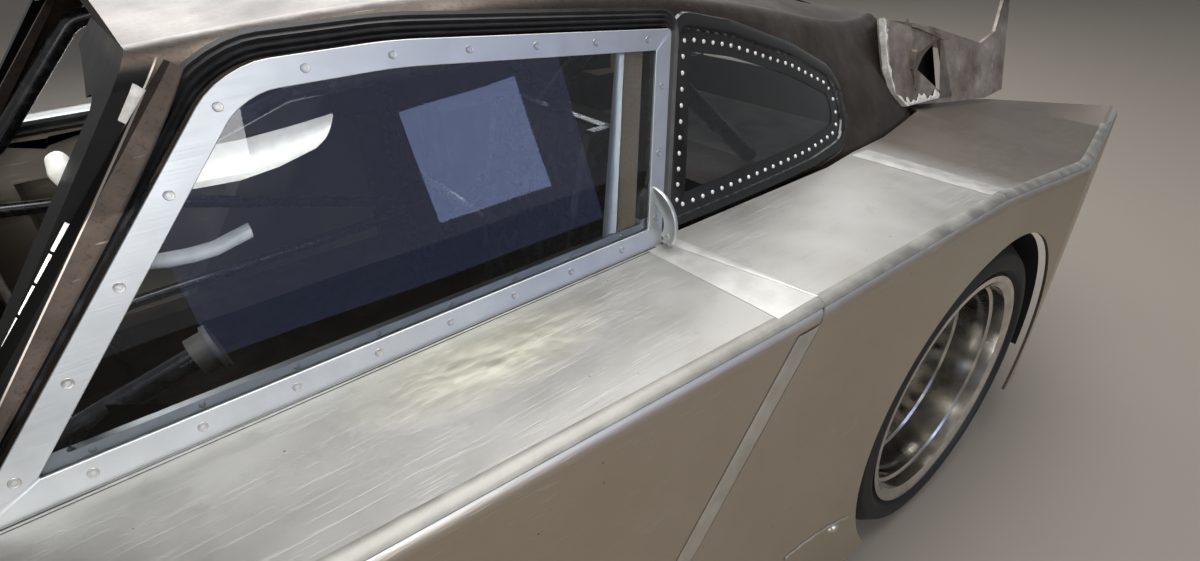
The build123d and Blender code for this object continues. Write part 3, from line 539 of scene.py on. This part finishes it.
def worn_tail_metal():
    """Old aluminium stripped of its paint: grey-brown, blotched, with chalky filler left in patches."""
    metal = Finish("stripped_aluminium_with_filler")
    bloom = metal.noise(13.0, 8.0, 0.66)
    drip = metal.drawn((70, 70, 9), 5.0, roughness=0.7)
    tone = metal.ramp(bloom, (0.30, "#6E645C"), (0.48, "#92877E"), (0.62, "#AAA198"), (0.78, "#C5BEB6"))
    tone = metal.blend(metal.ramp(drip, (0.60, 0.0), (0.72, 0.8)), tone, "#C9C4BC")
    return metal.done(tone, metal.span(bloom, 0.35, 0.62), 0.75, Normal=metal.bump(drip, 0.3, 0.001))


def plain_finish(name, tones, metallic, rough, scale, coat=0.0, lines=None):
    """Finish of a small part: two tones of wear, rough by the same wear, with fine lines where given."""
    plain = Finish(name)
    wear = plain.noise(scale, 6.0, 0.62)
    tone = plain.ramp(wear, (0.38, tones[0]), (0.68, tones[1]))
    relief = plain.bump(plain.drawn(lines, 3.0) if lines else wear, 0.22, 0.0006)
    return plain.done(tone, plain.span(wear, *rough, 0.3, 0.7), metallic, Coat_Weight=coat,
                      Coat_Roughness=0.06, Normal=relief)


# Finish of each material slot
FINISHES = {
    "brushed_aluminium": sheet_aluminium(),
    "satin_aluminium": satin_aluminium(),
    "polished_aluminium": polished_aluminium(),
    "bare_steel": bare_steel(),
    "primed_panel": worn_tail_metal(),
    "smoked_polycarbonate": polycarbonate(),
    "rubber_seal": black_rubber(),
    "tyre_rubber": tyre_rubber(),
    "black_paint": black_enamel(),
    "cast_aluminium": cast_alloy(),
}

# Filed weld: aluminium dressed along the seam, paler than the sheet
FILED_METAL = plain_finish(
    "filed_aluminium_weld", ("#CFCDC8", "#DEDDD9"), 1.0, (0.42, 0.52), 30.0, lines=(260, 9, 260))
# Filed edge: duller than the weld, drawn along the car
FILED_EDGE = plain_finish(
    "filed_sheet_edge", ("#96948E", "#AFADA6"), 1.0, (0.50, 0.62), 24.0, lines=(7, 240, 240))
# Linished joint of the flank
LINISHED = plain_finish(
    "linished_flank_joint", ("#C6C4B9", "#D8D6CC"), 1.0, (0.40, 0.52), 20.0, lines=(200, 200, 9))
# Body filler: chalky white, rubbed down
FILLER = plain_finish("rubbed_body_filler", ("#B9B5AD", "#DEDBD5"), 0.0, (0.6, 0.8), 90.0)
# Inner plates: pale, worn
PAINTED_PALE = plain_finish("pale_inner_plate", ("#8F9193", "#B6B6B8"), 0.35, (0.35, 0.5), 14.0)
# Dead matt black for painted shade: the sheet inside the rear arch and the sheet behind the tail slot
PAINTED_SHADE_BLACK = plain_finish("painted_shade_black", ("#060606", "#100F0F"), 0.0, (0.7, 0.9), 20.0)
# Felt of the window channel: tan, soft
FELT = plain_finish("tan_channel_felt", ("#A08E76", "#B9A88F"), 0.0, (0.85, 0.95), 500.0)
# Stainless screw: bright turned head
POLISHED_STEEL = plain_finish("stainless_screw", ("#A9A8A4", "#C6C5C1"), 1.0, (0.34, 0.48), 300.0)
# Pop rivet: white-grey anodised head
RIVET_WHITE = plain_finish("anodised_rivet", ("#D6D5D1", "#F0EFEC"), 0.25, (0.30, 0.5), 400.0)
# Gloss black: sprayed edge band and moulding
GLOSS_BLACK = plain_finish("gloss_black_moulding", ("#020202", "#070707"), 0.0, (0.22, 0.40), 60.0, coat=0.6)
# Moulded plastic: off-white
WHITE_PLASTIC = plain_finish("white_moulded_plastic", ("#D9D7CF", "#E9E7E1"), 0.0, (0.35, 0.5), 80.0)
# Chromed steel: gear lever
CHROME = plain_finish("chromed_steel", ("#C4C5C6", "#E3E4E5"), 1.0, (0.05, 0.16), 50.0)


def dress_cad_nodes():
    """Gives each solid of the frame the finish of its slot, and the gear lever chrome."""
    for subpart in frame["record"]["subparts"]:
        node = frame["nodes"].get(subpart["node"])
        if node:
            node.data.materials.clear()
            node.data.materials.append(FINISHES[subpart["material_slot"]])
    frame["nodes"]["gear_lever"].data.materials[0] = CHROME


dress_cad_nodes()


def surface_of(*nodes):
    """Search tree over the faces of some of the frame's nodes at rest."""
    spots, faces = [], []
    for name in nodes:
        mesh = frame["nodes"][name].data
        start = len(spots)
        spots += [vert.co.copy() for vert in mesh.vertices]
        faces += [[start + index for index in face.vertices] for face in mesh.polygons]
    return BVHTree.FromPolygons(spots, faces)


def set_on(tree, start, aim, out):
    """Point where a ray from start along aim meets a surface, lifted off it by out, and the normal there."""
    aim = Vector(aim).normalized()
    spot, normal, _, _ = tree.ray_cast(Vector(start), aim)
    if spot is None:
        raise ValueError(f"no surface under {tuple(round(v, 3) for v in start)}")
    if normal.dot(aim) > 0:
        normal = -normal
    return spot + normal * out, normal


def on_side(tree, station, height, side, out=0.0):
    """Point on the car's flank, found from outside, and the normal there."""
    return set_on(tree, (at(station), side * OUTSIDE_Y, height), (0, -side, 0), out)


def on_top(tree, station, y, side, out=0.0):
    """Point on the car's upper side, found from above, and the normal there."""
    return set_on(tree, (at(station), side * y, ABOVE_Z), (0, 0, -1), out)


def over_gaps(tree, station, height, side, out=0.0):
    """Point on the flank, carried on flat over a gap between two parts, and the normal there."""
    for step in GAP_STEPS:
        start = Vector((at(station), side * OUTSIDE_Y, height + step))
        spot, normal, _, _ = tree.ray_cast(start, Vector((0, -side, 0)))
        if spot and spot.y * side > NEAR_SIDE_Y:
            break
    if normal.y * side < 0:
        normal = -normal
    return Vector((spot.x, spot.y + step * normal.z / normal.y, height)) + normal * out, normal


def on_frame(station, height, side, out=0.0):
    """Point on the leaning outer face of the door window's frame, and the normal there."""
    normal = Vector((0, side, TUMBLEHOME)).normalized()
    y = FRAME_Y - TUMBLEHOME * (height - SHELF_Z)
    return Vector((at(station), side * y, height)) + normal * out, normal


def swell(way):
    """Rise from 0 to 1 and back while the way goes from 0 to 1."""
    return math.sin(math.pi * way)


def make_piece(name, shape, body, slot, finish=None):
    """Turns a shape into a piece that rides on a body, with its slot's finish where none is given."""
    bmesh.ops.recalc_face_normals(shape, faces=shape.faces)
    mesh = bpy.data.meshes.new(name)
    shape.to_mesh(mesh)
    shape.free()
    mesh.shade_smooth()
    mesh.set_sharp_from_angle(angle=SHARP_EDGE)
    mesh.materials.append(finish or FINISHES[slot])
    piece = put_in_scene(name, mesh)
    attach(piece, body)
    return piece


def add_sheet(shape, columns, rows, place, thickness=0.0):
    """Adds a sheet: a grid whose points go to place(across, along), both from 0 to 1."""
    made = bmesh.ops.create_grid(shape, x_segments=columns, y_segments=rows, size=0.5)["verts"]
    for vert in made:
        vert.co = place(vert.co.x + 0.5, vert.co.y + 0.5)
    if thickness:
        faces = list({face for vert in made for face in vert.link_faces})
        bmesh.ops.solidify(shape, geom=faces, thickness=thickness)


def add_plate(shape, spots, thickness):
    """Adds a flat plate with these corners."""
    face = shape.faces.new([shape.verts.new(spot) for spot in spots])
    bmesh.ops.solidify(shape, geom=[face], thickness=thickness)


def add_swept_sheet(shape, ends, centre, axis, angle, steps, thickness):
    """Adds the sheet that a straight edge between two ends sweeps out round a centre."""
    verts = [shape.verts.new(end) for end in ends]
    edge = shape.edges.new(verts)
    bmesh.ops.spin(shape, geom=[*verts, edge], cent=centre, axis=axis, dvec=(0, 0, 0), angle=angle,
                   steps=steps, use_merge=False)
    bmesh.ops.solidify(shape, geom=shape.faces[:], thickness=thickness)


def make_sheet(name, columns, rows, place, thickness, body, slot, finish=None):
    """Piece made of a single sheet."""
    shape = bmesh.new()
    add_sheet(shape, columns, rows, place, thickness)
    return make_piece(name, shape, body, slot, finish)


def grown(points, amount):
    """Corners of an outline, moved outwards so that its sides move by amount."""
    spots = [Vector(point) for point in points]
    area = sum(a.x * b.y - b.x * a.y for a, b in zip(spots, spots[1:] + spots[:1]))
    turn = 1 if area > 0 else -1
    moved = []
    for before, here, after in zip(spots[-1:] + spots[:-1], spots, spots[1:] + spots[:1]):
        first = (here - before).normalized()
        second = (after - here).normalized()
        out_first = Vector((first.y, -first.x)) * turn
        out_second = Vector((second.y, -second.x)) * turn
        moved.append(here + (out_first + out_second) * (amount / (1 + out_first.dot(out_second))))
    return moved


def add_outline(shape, points, radii, grow=0.0, cuts=0):
    """Adds to an empty shape the face inside an outline, grown, with round corners and divided sides."""
    spots = grown(points, grow)
    corners = [shape.verts.new((*spot, 0)) for spot in spots]
    shape.faces.new(corners)
    for index, corner in enumerate(corners):
        first = spots[index] - spots[index - 1]
        second = spots[(index + 1) % len(spots)] - spots[index]
        reach = max(radii[index] + grow, SMALLEST_RADIUS) * math.tan(first.angle(second) / 2)
        bmesh.ops.bevel(shape, geom=[corner], offset=reach, offset_type="OFFSET", affect="VERTICES",
                        segments=CORNER_STEPS, profile=0.5, material=-1)
    face = shape.faces[:][0]
    if cuts:
        bmesh.ops.subdivide_edges(shape, edges=list(face.edges), cuts=cuts)
    return face


def add_moulding(shape, points, radii, section, place, cuts=1):
    """Adds a moulding round an outline.

    Its section is a row of (grow, out), and place(station, height, out) sets each point.
    """
    rings = []
    for grow, out in section:
        ring = bmesh.new()
        face = add_outline(ring, points, radii, grow, cuts)
        rings.append([place(corner.co.x, corner.co.y, out) for corner in face.verts])
        ring.free()
    verts = [shape.verts.new(spot) for spot in rings[0]]
    edges = [shape.edges.new(pair) for pair in zip(verts, verts[1:] + verts[:1])]
    for spots in rings[1:]:
        made = bmesh.ops.extrude_edge_only(shape, edges=edges)["geom"]
        fresh = {item for item in made if isinstance(item, bmesh.types.BMVert)}
        verts = [next(edge.other_vert(vert) for edge in vert.link_edges if edge.other_vert(vert) in fresh)
                 for vert in verts]
        for vert, spot in zip(verts, spots):
            vert.co = spot
        edges = [next(edge for edge in a.link_edges if edge.other_vert(a) is b)
                 for a, b in zip(verts, verts[1:] + verts[:1])]


def close_section(shape):
    """Joins the first and last loop of a closed moulding."""
    bmesh.ops.remove_doubles(shape, verts=shape.verts, dist=0.00001)


def walk(points, radii, grow, pitch, phase=0.5):
    """Evenly spaced (station, height) places round an outline, about pitch apart."""
    shape = bmesh.new()
    face = add_outline(shape, points, radii, grow)
    spots = [corner.co.xy for corner in face.verts]
    shape.free()
    runs = list(zip(spots, spots[1:] + spots[:1]))
    total = sum((b - a).length for a, b in runs)
    step = total / round(total / pitch)
    places, gone, target = [], 0.0, step * phase
    for a, b in runs:
        length = (b - a).length
        while target < gone + length:
            places.append(a.lerp(b, (target - gone) / length))
            target += step
        gone += length
    return places


def seat(spot, normal, turn=0.0):
    """Matrix that stands a small part on a surface."""
    aim = Vector(normal).to_track_quat("Z", "Y").to_matrix().to_4x4()
    return Matrix.Translation(spot) @ aim @ Matrix.Rotation(turn, 4, "Z")


def add_screw(shape, spot, normal, radius, height):
    """Adds a countersunk screw: a thin head with a chamfered rim, a shallow dish and a round socket."""
    turn = random.uniform(0, math.pi)
    made = bmesh.ops.create_cone(shape, cap_ends=True, segments=SCREW_SIDES, radius1=radius,
                                 radius2=radius * 0.9, depth=height, matrix=seat(spot, normal, turn))["verts"]
    caps = {face for vert in made for face in vert.link_faces if len(face.verts) == SCREW_SIDES}
    top = max(caps, key=lambda face: face.calc_center_median().dot(Vector(normal)))
    for share, depth in ((0.2, -height * 0.35), (0.3, 0), (0.06, -SOCKET_DEPTH)):
        bmesh.ops.inset_individual(shape, faces=[top], thickness=radius * share, depth=depth)


def add_rivet(shape, spot, normal, radius, height):
    """Adds a domed rivet head."""
    stand = seat(spot, normal) @ Matrix.Diagonal((radius, radius, height, 1))
    made = bmesh.ops.create_uvsphere(shape, u_segments=12, v_segments=6, radius=1, matrix=stand)["verts"]
    low = [vert for vert in made if (vert.co - Vector(spot)).dot(Vector(normal)) < -height * 0.2]
    bmesh.ops.delete(shape, geom=low, context="VERTS")


def trim(shape, height, away):
    """Cuts away what lies above a height, where away is 1, or below it, where away is -1."""
    parts = shape.verts[:] + shape.edges[:] + shape.faces[:]
    bmesh.ops.bisect_plane(shape, geom=parts, plane_co=(0, 0, height), plane_no=(0, 0, away),
                           clear_outer=True)


def break_edges(shape, edges, offset, segments):
    """Rounds or chamfers edges."""
    bmesh.ops.bevel(shape, geom=edges, offset=offset, affect="EDGES", segments=segments, profile=0.5,
                    material=-1)


def make_window(side, name):
    """Door window: flat frame with broken edges, clear pane, and lipped seal."""

    def place(station, height, out):
        return on_frame(station, height, side, out)[0]

    shape = bmesh.new()
    wide, edge, thick = FRAME_WIDTH, FRAME_CHAMFER, FRAME_THICKNESS
    section = ((-wide, -thick), (-wide, -edge), (-wide + edge, 0), (-edge, 0), (0, -edge), (0, -thick),
               (-wide, -thick))
    add_moulding(shape, FRAME_POINTS, FRAME_RADII, section, place)
    close_section(shape)
    frame_piece = make_piece(f"window_frame_{name}", shape, f"door_{name}", "satin_aluminium")
    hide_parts(f"door_window_frame_{name}")

    shape = bmesh.new()
    face = add_outline(shape, FRAME_POINTS, FRAME_RADII, -PANE_INSET)
    for vert in shape.verts:
        vert.co = place(vert.co.x, vert.co.y, -PANE_DEPTH)
    bmesh.ops.recalc_face_normals(shape, faces=[face])
    inward = 1 if face.normal.y * side > 0 else -1
    bmesh.ops.solidify(shape, geom=[face], thickness=PANE_THICKNESS * inward)
    pane = make_piece(f"window_pane_{name}", shape, f"door_{name}", "smoked_polycarbonate")
    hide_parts(f"door_pane_{name}")

    shape = bmesh.new()
    add_moulding(shape, FRAME_POINTS, FRAME_RADII, SEAL_SECTION, place)
    close_section(shape)
    trim(shape, SHELF_Z + SEAL_LIFT, -1)
    seal = make_piece(f"window_seal_lipped_{name}", shape, "chassis", "rubber_seal")
    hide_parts(f"window_seal_{name}")

    # Steel flange of the windscreen pillar, beside the seal's front run, with a lip turned in
    foot, head = Vector(FRAME_POINTS[0]), Vector(FRAME_POINTS[1])
    ahead = Vector((-(head - foot).y, (head - foot).x)).normalized()

    def flange(u, v):
        taper = v ** 6
        reach = FLANGE_GAP + 0.012 * taper + (FLANGE_WIDTH - 0.014 * taper) * u
        depth = 0.0040 + 0.0020 * u + 0.0085 * max(0, u - 0.7) / 0.3
        spot = foot.lerp(head, 0.03 + 0.93 * v) + ahead * reach
        return place(spot.x, spot.y, -depth)

    make_sheet(f"pillar_flange_{name}", 10, 20, flange, 0.0012, "chassis", "bare_steel")

    # Aluminium and felt of the run channel behind the pane's rear edge
    for label, slot, finish, tops, feet in (
        ("run_channel", "satin_aluminium", None, CHANNEL_TOPS, CHANNEL_FEET),
        ("channel_felt", "rubber_seal", FELT, FELT_TOPS, FELT_FEET),
    ):
        def channel(u, v):
            high = tops[0] + (tops[1] - tops[0]) * u
            low = feet[0] + (feet[1] - feet[0]) * u
            height = CHANNEL_HEAD_Z * v + CHANNEL_FOOT_Z * (1 - v)
            return place(high * v + low * (1 - v), height, -CHANNEL_DEPTH - 0.004 * swell(u))

        make_sheet(f"{label}_{name}", 4, 20, channel, 0.0015, f"door_{name}", slot, finish)


def dress_door_window(side, name):
    """Screws of the frame, and the folded angle with its rivets behind the pane."""
    shape = bmesh.new()
    for station, height in walk(FRAME_POINTS, FRAME_RADII, -FRAME_WIDTH / 2, FRAME_SCREW_PITCH, 0.3):
        add_screw(shape, *on_frame(station, height, side, 0.0001), 0.0050, 0.0006)
    make_piece(f"frame_screws_{name}", shape, f"door_{name}", "polished_aluminium", POLISHED_STEEL)

    shape = bmesh.new()
    section = ((-FRAME_WIDTH - 0.011, -ANGLE_DEPTH - 0.012), (-FRAME_WIDTH - 0.010, -ANGLE_DEPTH),
               (-FRAME_WIDTH + 0.004, -ANGLE_DEPTH))
    add_moulding(shape, FRAME_POINTS, FRAME_RADII, section, lambda s, z, out: on_frame(s, z, side, out)[0])
    trim(shape, ANGLE_TOP_Z, 1)
    make_piece(f"glazing_angle_{name}", shape, f"door_{name}", "satin_aluminium")

    shape = bmesh.new()
    for station, height in walk(FRAME_POINTS, FRAME_RADII, -FRAME_WIDTH - 0.0045, FRAME_SCREW_PITCH, 0.7):
        if height < ANGLE_TOP_Z:
            add_rivet(shape, *on_frame(station, height, side, -ANGLE_DEPTH), 0.0034, 0.0008)
    make_piece(f"glazing_rivets_{name}", shape, f"door_{name}", "polished_aluminium", POLISHED_STEEL)


def dress_quarter_window(side, name):
    """Black edge band, rivets and black moulding of the rear quarter window."""
    skin = surface_of("cabin_shell", f"quarter_window_{name}")

    def place(station, height, out):
        return over_gaps(skin, station, height, side, out)[0]

    for label, section in (("quarter_band", QUARTER_BAND), ("quarter_moulding", QUARTER_MOULDING)):
        shape = bmesh.new()
        add_moulding(shape, QUARTER_POINTS, QUARTER_RADII, section, place, QUARTER_CUTS)
        make_piece(f"{label}_{name}", shape, "chassis", "rubber_seal", GLOSS_BLACK)

    shape = bmesh.new()
    for station, height in walk(QUARTER_POINTS, QUARTER_RADII, -RIVET_INSET, RIVET_PITCH):
        add_rivet(shape, *over_gaps(skin, station, height, side, 0.0009), 0.0036, 0.0022)
    make_piece(f"quarter_rivets_{name}", shape, "chassis", "satin_aluminium", RIVET_WHITE)


def seam_at(y, height):
    """Station of the raked seam between door and rear fender."""
    return SEAM_STATION + SEAM_SPREAD * (y - SEAM_Y) + SEAM_RAKE * (height - SHELF_Z)


def dress_seams(side, name):
    """Sanded joint strips on the shelf and down the flank, and the weld across the fender."""
    fender = surface_of(f"rear_fender_{name}")
    door = surface_of(f"door_{name}")

    def crown(u):
        return 0.0005 + 0.0004 * swell(u)

    def door_band(u, v):
        y = 0.702 + 0.234 * v
        end = seam_at(y, SHELF_Z) + SEAM_GAP - 0.0014
        return Vector((at(JOINT_START + (end - JOINT_START) * u), side * y, SHELF_Z + crown(u)))

    def fender_band(u, v):
        y = 0.690 + 0.246 * v
        start = seam_at(y, SHELF_Z) + SEAM_GAP + 0.0003
        end = JOINT_END + 0.09 * (y - 0.727)
        return on_top(fender, start + (end - start) * u, y, side, crown(u))[0]

    def weld_band(u, v):
        return on_top(fender, WELD_START + (WELD_END - WELD_START) * u, 0.680 + 0.262 * v, side, crown(u))[0]

    def flank_band(u, v):
        height = 0.783 - 0.643 * v
        end = seam_at(0.95, height)
        spot, _ = on_side(door, end - 0.004 - 0.030 * (1 - u), height, side)
        spot.x = at(end - 0.040 + 0.0445 * u)
        spot.y += side * (0.0004 + 0.0014 * min(1, 5 * u, 5 * (1 - u)))
        return spot

    for label, place, finish, body in (
        ("door_joint_strip", door_band, FILED_METAL, f"door_{name}"),
        ("fender_joint_strip", fender_band, FILED_METAL, "chassis"),
        ("fender_weld_band", weld_band, FILED_METAL, "chassis"),
        ("flank_joint_strip", flank_band, LINISHED, f"door_{name}"),
    ):
        make_sheet(f"{label}_{name}", 8, 30, place, 0.0004, body, "brushed_aluminium", finish)


def dress_rolled_edges(side, name):
    """Filed cap round the upper part of the rolled edge, with a lip above the flank."""
    for node, body, first, last, probe in (
        ("door", f"door_{name}", DOOR_EDGE_START, None, 0.775),
        ("rear_fender", "chassis", None, FENDER_EDGE_END, 0.712),
    ):
        skin = surface_of(f"{node}_{name}")

        def cap(u, v):
            turn = math.radians(97 - 52 * u)
            y = FLANK_Y - EDGE_ROLL + EDGE_ROLL * math.cos(turn)
            z = SHELF_Z - EDGE_ROLL + EDGE_ROLL * math.sin(turn)
            start = seam_at(y, z) + 0.0068 if first is None else first
            end = seam_at(y, z) + 0.0050 if last is None else last
            station = flank_station = top_station = start + (end - start) * v
            if last is None:
                # Short of the seam, where the flank and the shelf are still under the probe
                flank_station = min(station, seam_at(FLANK_Y, probe) - 0.003)
                top_station = min(station, seam_at(0.90, SHELF_Z) - 0.003)
            flank, _ = on_side(skin, flank_station, probe, side)
            top, _ = on_top(skin, top_station, abs(flank.y) - 0.05, side)
            centre = Vector((at(station), flank.y - side * EDGE_ROLL, top.z - EDGE_ROLL))
            aim = Vector((0, side * math.cos(turn), math.sin(turn)))
            lip = 0.0007 * max(0.0, (u - 0.6) / 0.4)
            return centre + aim * (EDGE_ROLL + 0.0004 + lip)

        make_sheet(f"{node}_edge_cap_{name}", 10, 44, cap, 0.0010, body, "brushed_aluminium", FILED_EDGE)


def make_pull(side, name):
    """Crescent pull: a flat ring segment that stands across the frame's rear foot."""
    station, y, height = PULL_CENTRE

    def spot_at(ahead, radius, turn):
        return at(station) + ahead, side * (y + radius * math.cos(turn)), height + radius * math.sin(turn)

    shape = bmesh.new()
    ends = [spot_at(0, radius, PULL_START) for radius in PULL_RADII]
    add_swept_sheet(shape, ends, (at(station), side * y, height), (side, 0, 0), PULL_END - PULL_START, 30,
                    PULL_THICKNESS)
    rims = [edge for edge in shape.edges if edge.is_manifold and edge.calc_face_angle() > 1.2]
    break_edges(shape, rims, 0.0016, 2)
    trim(shape, SHELF_Z, -1)
    for turn in PULL_SCREW_TURNS:
        spot = spot_at(PULL_THICKNESS + 0.0002, sum(PULL_RADII) / 2, turn)
        add_screw(shape, spot, (1, 0, 0), 0.0042, 0.0010)
    make_piece(f"crescent_pull_{name}", shape, f"door_{name}", "satin_aluminium")


def make_gussets(side, name):
    """Thin sheets inside the window's front corner: the gusset plate and the corner panel."""
    for label, level, corners, slot in (
        ("gusset_plate", 0.801, GUSSET_CORNERS, "satin_aluminium"),
        ("corner_panel", 0.796, CORNER_PANEL_CORNERS, "brushed_aluminium"),
    ):
        shape = bmesh.new()
        add_plate(shape, [(at(s), side * y, level) for s, y in corners], 0.0016)
        break_edges(shape, [edge for edge in shape.edges if edge.calc_face_angle() > 1.2], 0.0004, 1)
        make_piece(f"{label}_{name}", shape, f"door_{name}", slot, PAINTED_PALE)


def make_glue_strips(side, name):
    """Pale strips of adhesive left on the pillar's flange, in short lengths."""
    shell = surface_of("cabin_shell")
    shape = bmesh.new()
    for (first_s, first_z), (last_s, last_z) in GLUE_STRIPS:
        run = math.hypot(last_s - first_s, last_z - first_z)
        count = max(1, round(run / GLUE_LENGTH))
        for index in range(count):
            def place(u, v):
                way = (index + 0.04 + 0.88 * v) / count
                across = GLUE_WIDTH * (u - 0.42)
                station = first_s + (last_s - first_s) * way + across * 0.74
                height = first_z + (last_z - first_z) * way - across * 0.67
                return over_gaps(shell, station, height, side, 0.0012 + 0.0026 * swell(u))[0]

            add_sheet(shape, 5, 5, place, 0.0012)
    make_piece(f"pillar_glue_strip_{name}", shape, "chassis", "primed_panel", FILLER)


def make_arch_shade_sheet(side, name):
    """Black sheet inside the rear wheel arch, between the tyre and the fender's opening: painted shade of the
    arch.
    """
    shape = bmesh.new()
    x, z = at(REAR_AXLE_STATION), REAR_AXLE_Z
    ends = [(x - ARCH_SHADE_RADIUS * math.cos(ARCH_SHADE_START), side * y, z + ARCH_SHADE_RADIUS * math.sin(ARCH_SHADE_START))
            for y in ARCH_SHADE_SPAN]
    add_swept_sheet(shape, ends, (x, 0, z), (0, 1, 0), ARCH_SHADE_SWEEP, 48, ARCH_SHADE_SHEET)
    make_piece(f"arch_shade_sheet_{name}", shape, "chassis", "black_paint", PAINTED_SHADE_BLACK)


def along(row, way):
    """Point at a share of the way along a row of points."""
    place = min(way, 0.9999) * (len(row) - 1)
    index = int(place)
    return Vector(row[index]).lerp(Vector(row[index + 1]), place - index)


def on_cheek(station, height, side, out):
    """Point on the leaning outer face of the tail's side."""
    y = CHEEK_Y - CHEEK_LEAN * (height - CHEEK_LEVEL)
    return Vector((at(station), side * (y + out), height + 0.3 * out))


def make_tail_cheek(side, name):
    """Tail side ahead of the slot: pressed-in panel, filler, strip behind the slot, black painted shade at
    the duct's back, and screws.
    """

    def panel(u, v):
        station, height = along(CHEEK_FRONT, v).lerp(along(CHEEK_SLOT, v), u)
        dip = max(0.0, (u - 0.45) / 0.55) ** 1.6 * swell(min(1, max(0, v))) ** 0.7
        fold = max(0.0, 1 - u / 0.05) * 0.014
        return on_cheek(station, height, side, CHEEK_OUT - 0.026 * dip - fold)

    shape = bmesh.new()
    add_sheet(shape, 30, 24, panel, CHEEK_SHEET)
    add_plate(shape, [on_cheek(s, z, side, CHEEK_OUT) for s, z in CHEEK_STRIP], CHEEK_SHEET)
    make_piece(f"tail_cheek_{name}", shape, "chassis", "primed_panel")

    def front_filler(u, v):
        station, height = along(CHEEK_FRONT, v)
        wide = 0.010 + 0.005 * math.sin(17 * v) + 0.004 * math.sin(41 * v + 1)
        out = 0.0032 + 0.002 * swell(u) - 0.010 * (u < 0.01)
        return on_cheek(station + wide * (u - 0.2), height, side, out)

    def foot_filler(u, v):
        station, height = Vector(CHEEK_FRONT[0]).lerp(Vector(CHEEK_SLOT[0]), v)
        wide = 0.012 + 0.006 * math.sin(13 * v + 2) + 0.004 * math.sin(37 * v)
        return on_cheek(station, height + wide * u, side, 0.0034 + 0.0015 * swell(u))

    shape = bmesh.new()
    for filler in (front_filler, foot_filler):
        add_sheet(shape, 4, 60, filler, 0.001)
    make_piece(f"tail_filler_{name}", shape, "chassis", "primed_panel", FILLER)

    # Black sheet at the duct's back: painted shade seen through the slot
    shape = bmesh.new()
    add_plate(shape, [on_cheek(s, z, side, -DUCT_DEPTH) for s, z in DUCT_CORNERS], 0.0015)
    make_piece(f"tail_duct_painted_shade_{name}", shape, "chassis", "black_paint", PAINTED_SHADE_BLACK)

    shape = bmesh.new()
    for station, height in CHEEK_SCREWS:
        add_screw(shape, on_cheek(station, height, side, 0.0030), (0, side, CHEEK_LEAN), 0.0046, 0.0006)
    make_piece(f"tail_screws_{name}", shape, "chassis", "polished_aluminium", POLISHED_STEEL)


def make_mirror():
    """White plastic mirror on a short straight stem from the left leg of the cage."""
    shape = bmesh.new()
    station, y, height = MIRROR_CENTRE
    stand = (Matrix.Translation((at(station), y, height)) @ Matrix.Rotation(MIRROR_TURN, 4, "Y")
             @ Matrix.Diagonal((*MIRROR_SIZE, 1)))
    made = bmesh.ops.create_cube(shape, size=1, matrix=stand)["verts"]
    break_edges(shape, list({edge for vert in made for edge in vert.link_edges}), 0.0085, 4)
    start, end = (Vector((at(s), y, z)) for s, y, z in STEM_ENDS)
    bmesh.ops.create_cone(shape, cap_ends=True, segments=14, radius1=0.005, radius2=0.006,
                          depth=(end - start).length, matrix=seat((start + end) / 2, end - start))
    mirror = make_piece("mirror_housing", shape, "chassis", "cast_aluminium", WHITE_PLASTIC)
    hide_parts("mirror_inside")


def make_cabin_items():
    """White panel and pale tube that hang inside the left window."""

    def panel(u, v):
        spot = along(PANEL_FOOT, u).lerp(along(PANEL_HEAD, u), v)
        return Vector((at(spot.x), PANEL_Y + 0.012 * swell(v), spot.y))

    make_sheet("white_panel", 16, 8, panel, 0.0025, "chassis", "cast_aluminium", WHITE_PLASTIC)

    def tube(u, v):
        station, height = along(TUBE_RUN, v)
        turn = 2 * math.pi * u
        y = TUBE_Y + TUBE_RADIUS * math.cos(turn)
        return Vector((at(station), y, height + TUBE_RADIUS * math.sin(turn)))

    shape = bmesh.new()
    add_sheet(shape, 16, 20, tube)
    close_section(shape)
    bmesh.ops.holes_fill(shape, edges=[edge for edge in shape.edges if edge.is_boundary], sides=0)
    make_piece("pale_tube", shape, "chassis", "satin_aluminium", PAINTED_PALE)


def make_shelf_gasket(side, name):
    """Two thin black gasket lines between the window frame's foot and the shelf."""
    shape = bmesh.new()
    for y, wide in GASKET_LINES:
        def line(u, v):
            return Vector((at(0.850 + 0.795 * v), side * (y + wide * (u - 0.5)), SHELF_Z + 0.0008 * swell(u)))

        add_sheet(shape, 3, 30, line, 0.0008)
    make_piece(f"frame_gasket_{name}", shape, f"door_{name}", "rubber_seal", GLOSS_BLACK)


def make_flank_bead(side, name):
    """Rough weld bead ahead of the rear wheel arch, with a knob of weld."""
    fender = surface_of(f"rear_fender_{name}")

    def bead(u, v):
        height = 0.303 - 0.045 * v * v + 0.0012 * math.sin(31 * v) + 0.007 * (u - 0.5)
        out = 0.0006 + (0.0014 + 0.0004 * math.sin(70 * v)) * swell(u)
        return on_side(fender, 1.705 + 0.190 * v, height, side, out)[0]

    shape = bmesh.new()
    add_sheet(shape, 6, 80, bead, 0.0006)
    for station, height, radius in WELD_KNOBS:
        add_rivet(shape, *on_side(fender, station, height, side), radius, radius * 0.6)
    make_piece(f"flank_weld_bead_{name}", shape, "chassis", "brushed_aluminium", LINISHED)


make_mirror()
make_cabin_items()
for each_side, side_name in SIDE_NAMES.items():
    for make in (
        make_window, dress_door_window, dress_quarter_window, dress_seams, dress_rolled_edges, make_pull,
        make_gussets, make_glue_strips, make_arch_shade_sheet, make_tail_cheek, make_shelf_gasket, make_flank_bead,
    ):
        make(each_side, side_name)

bpy.context.scene.view_settings.view_transform = "Standard"
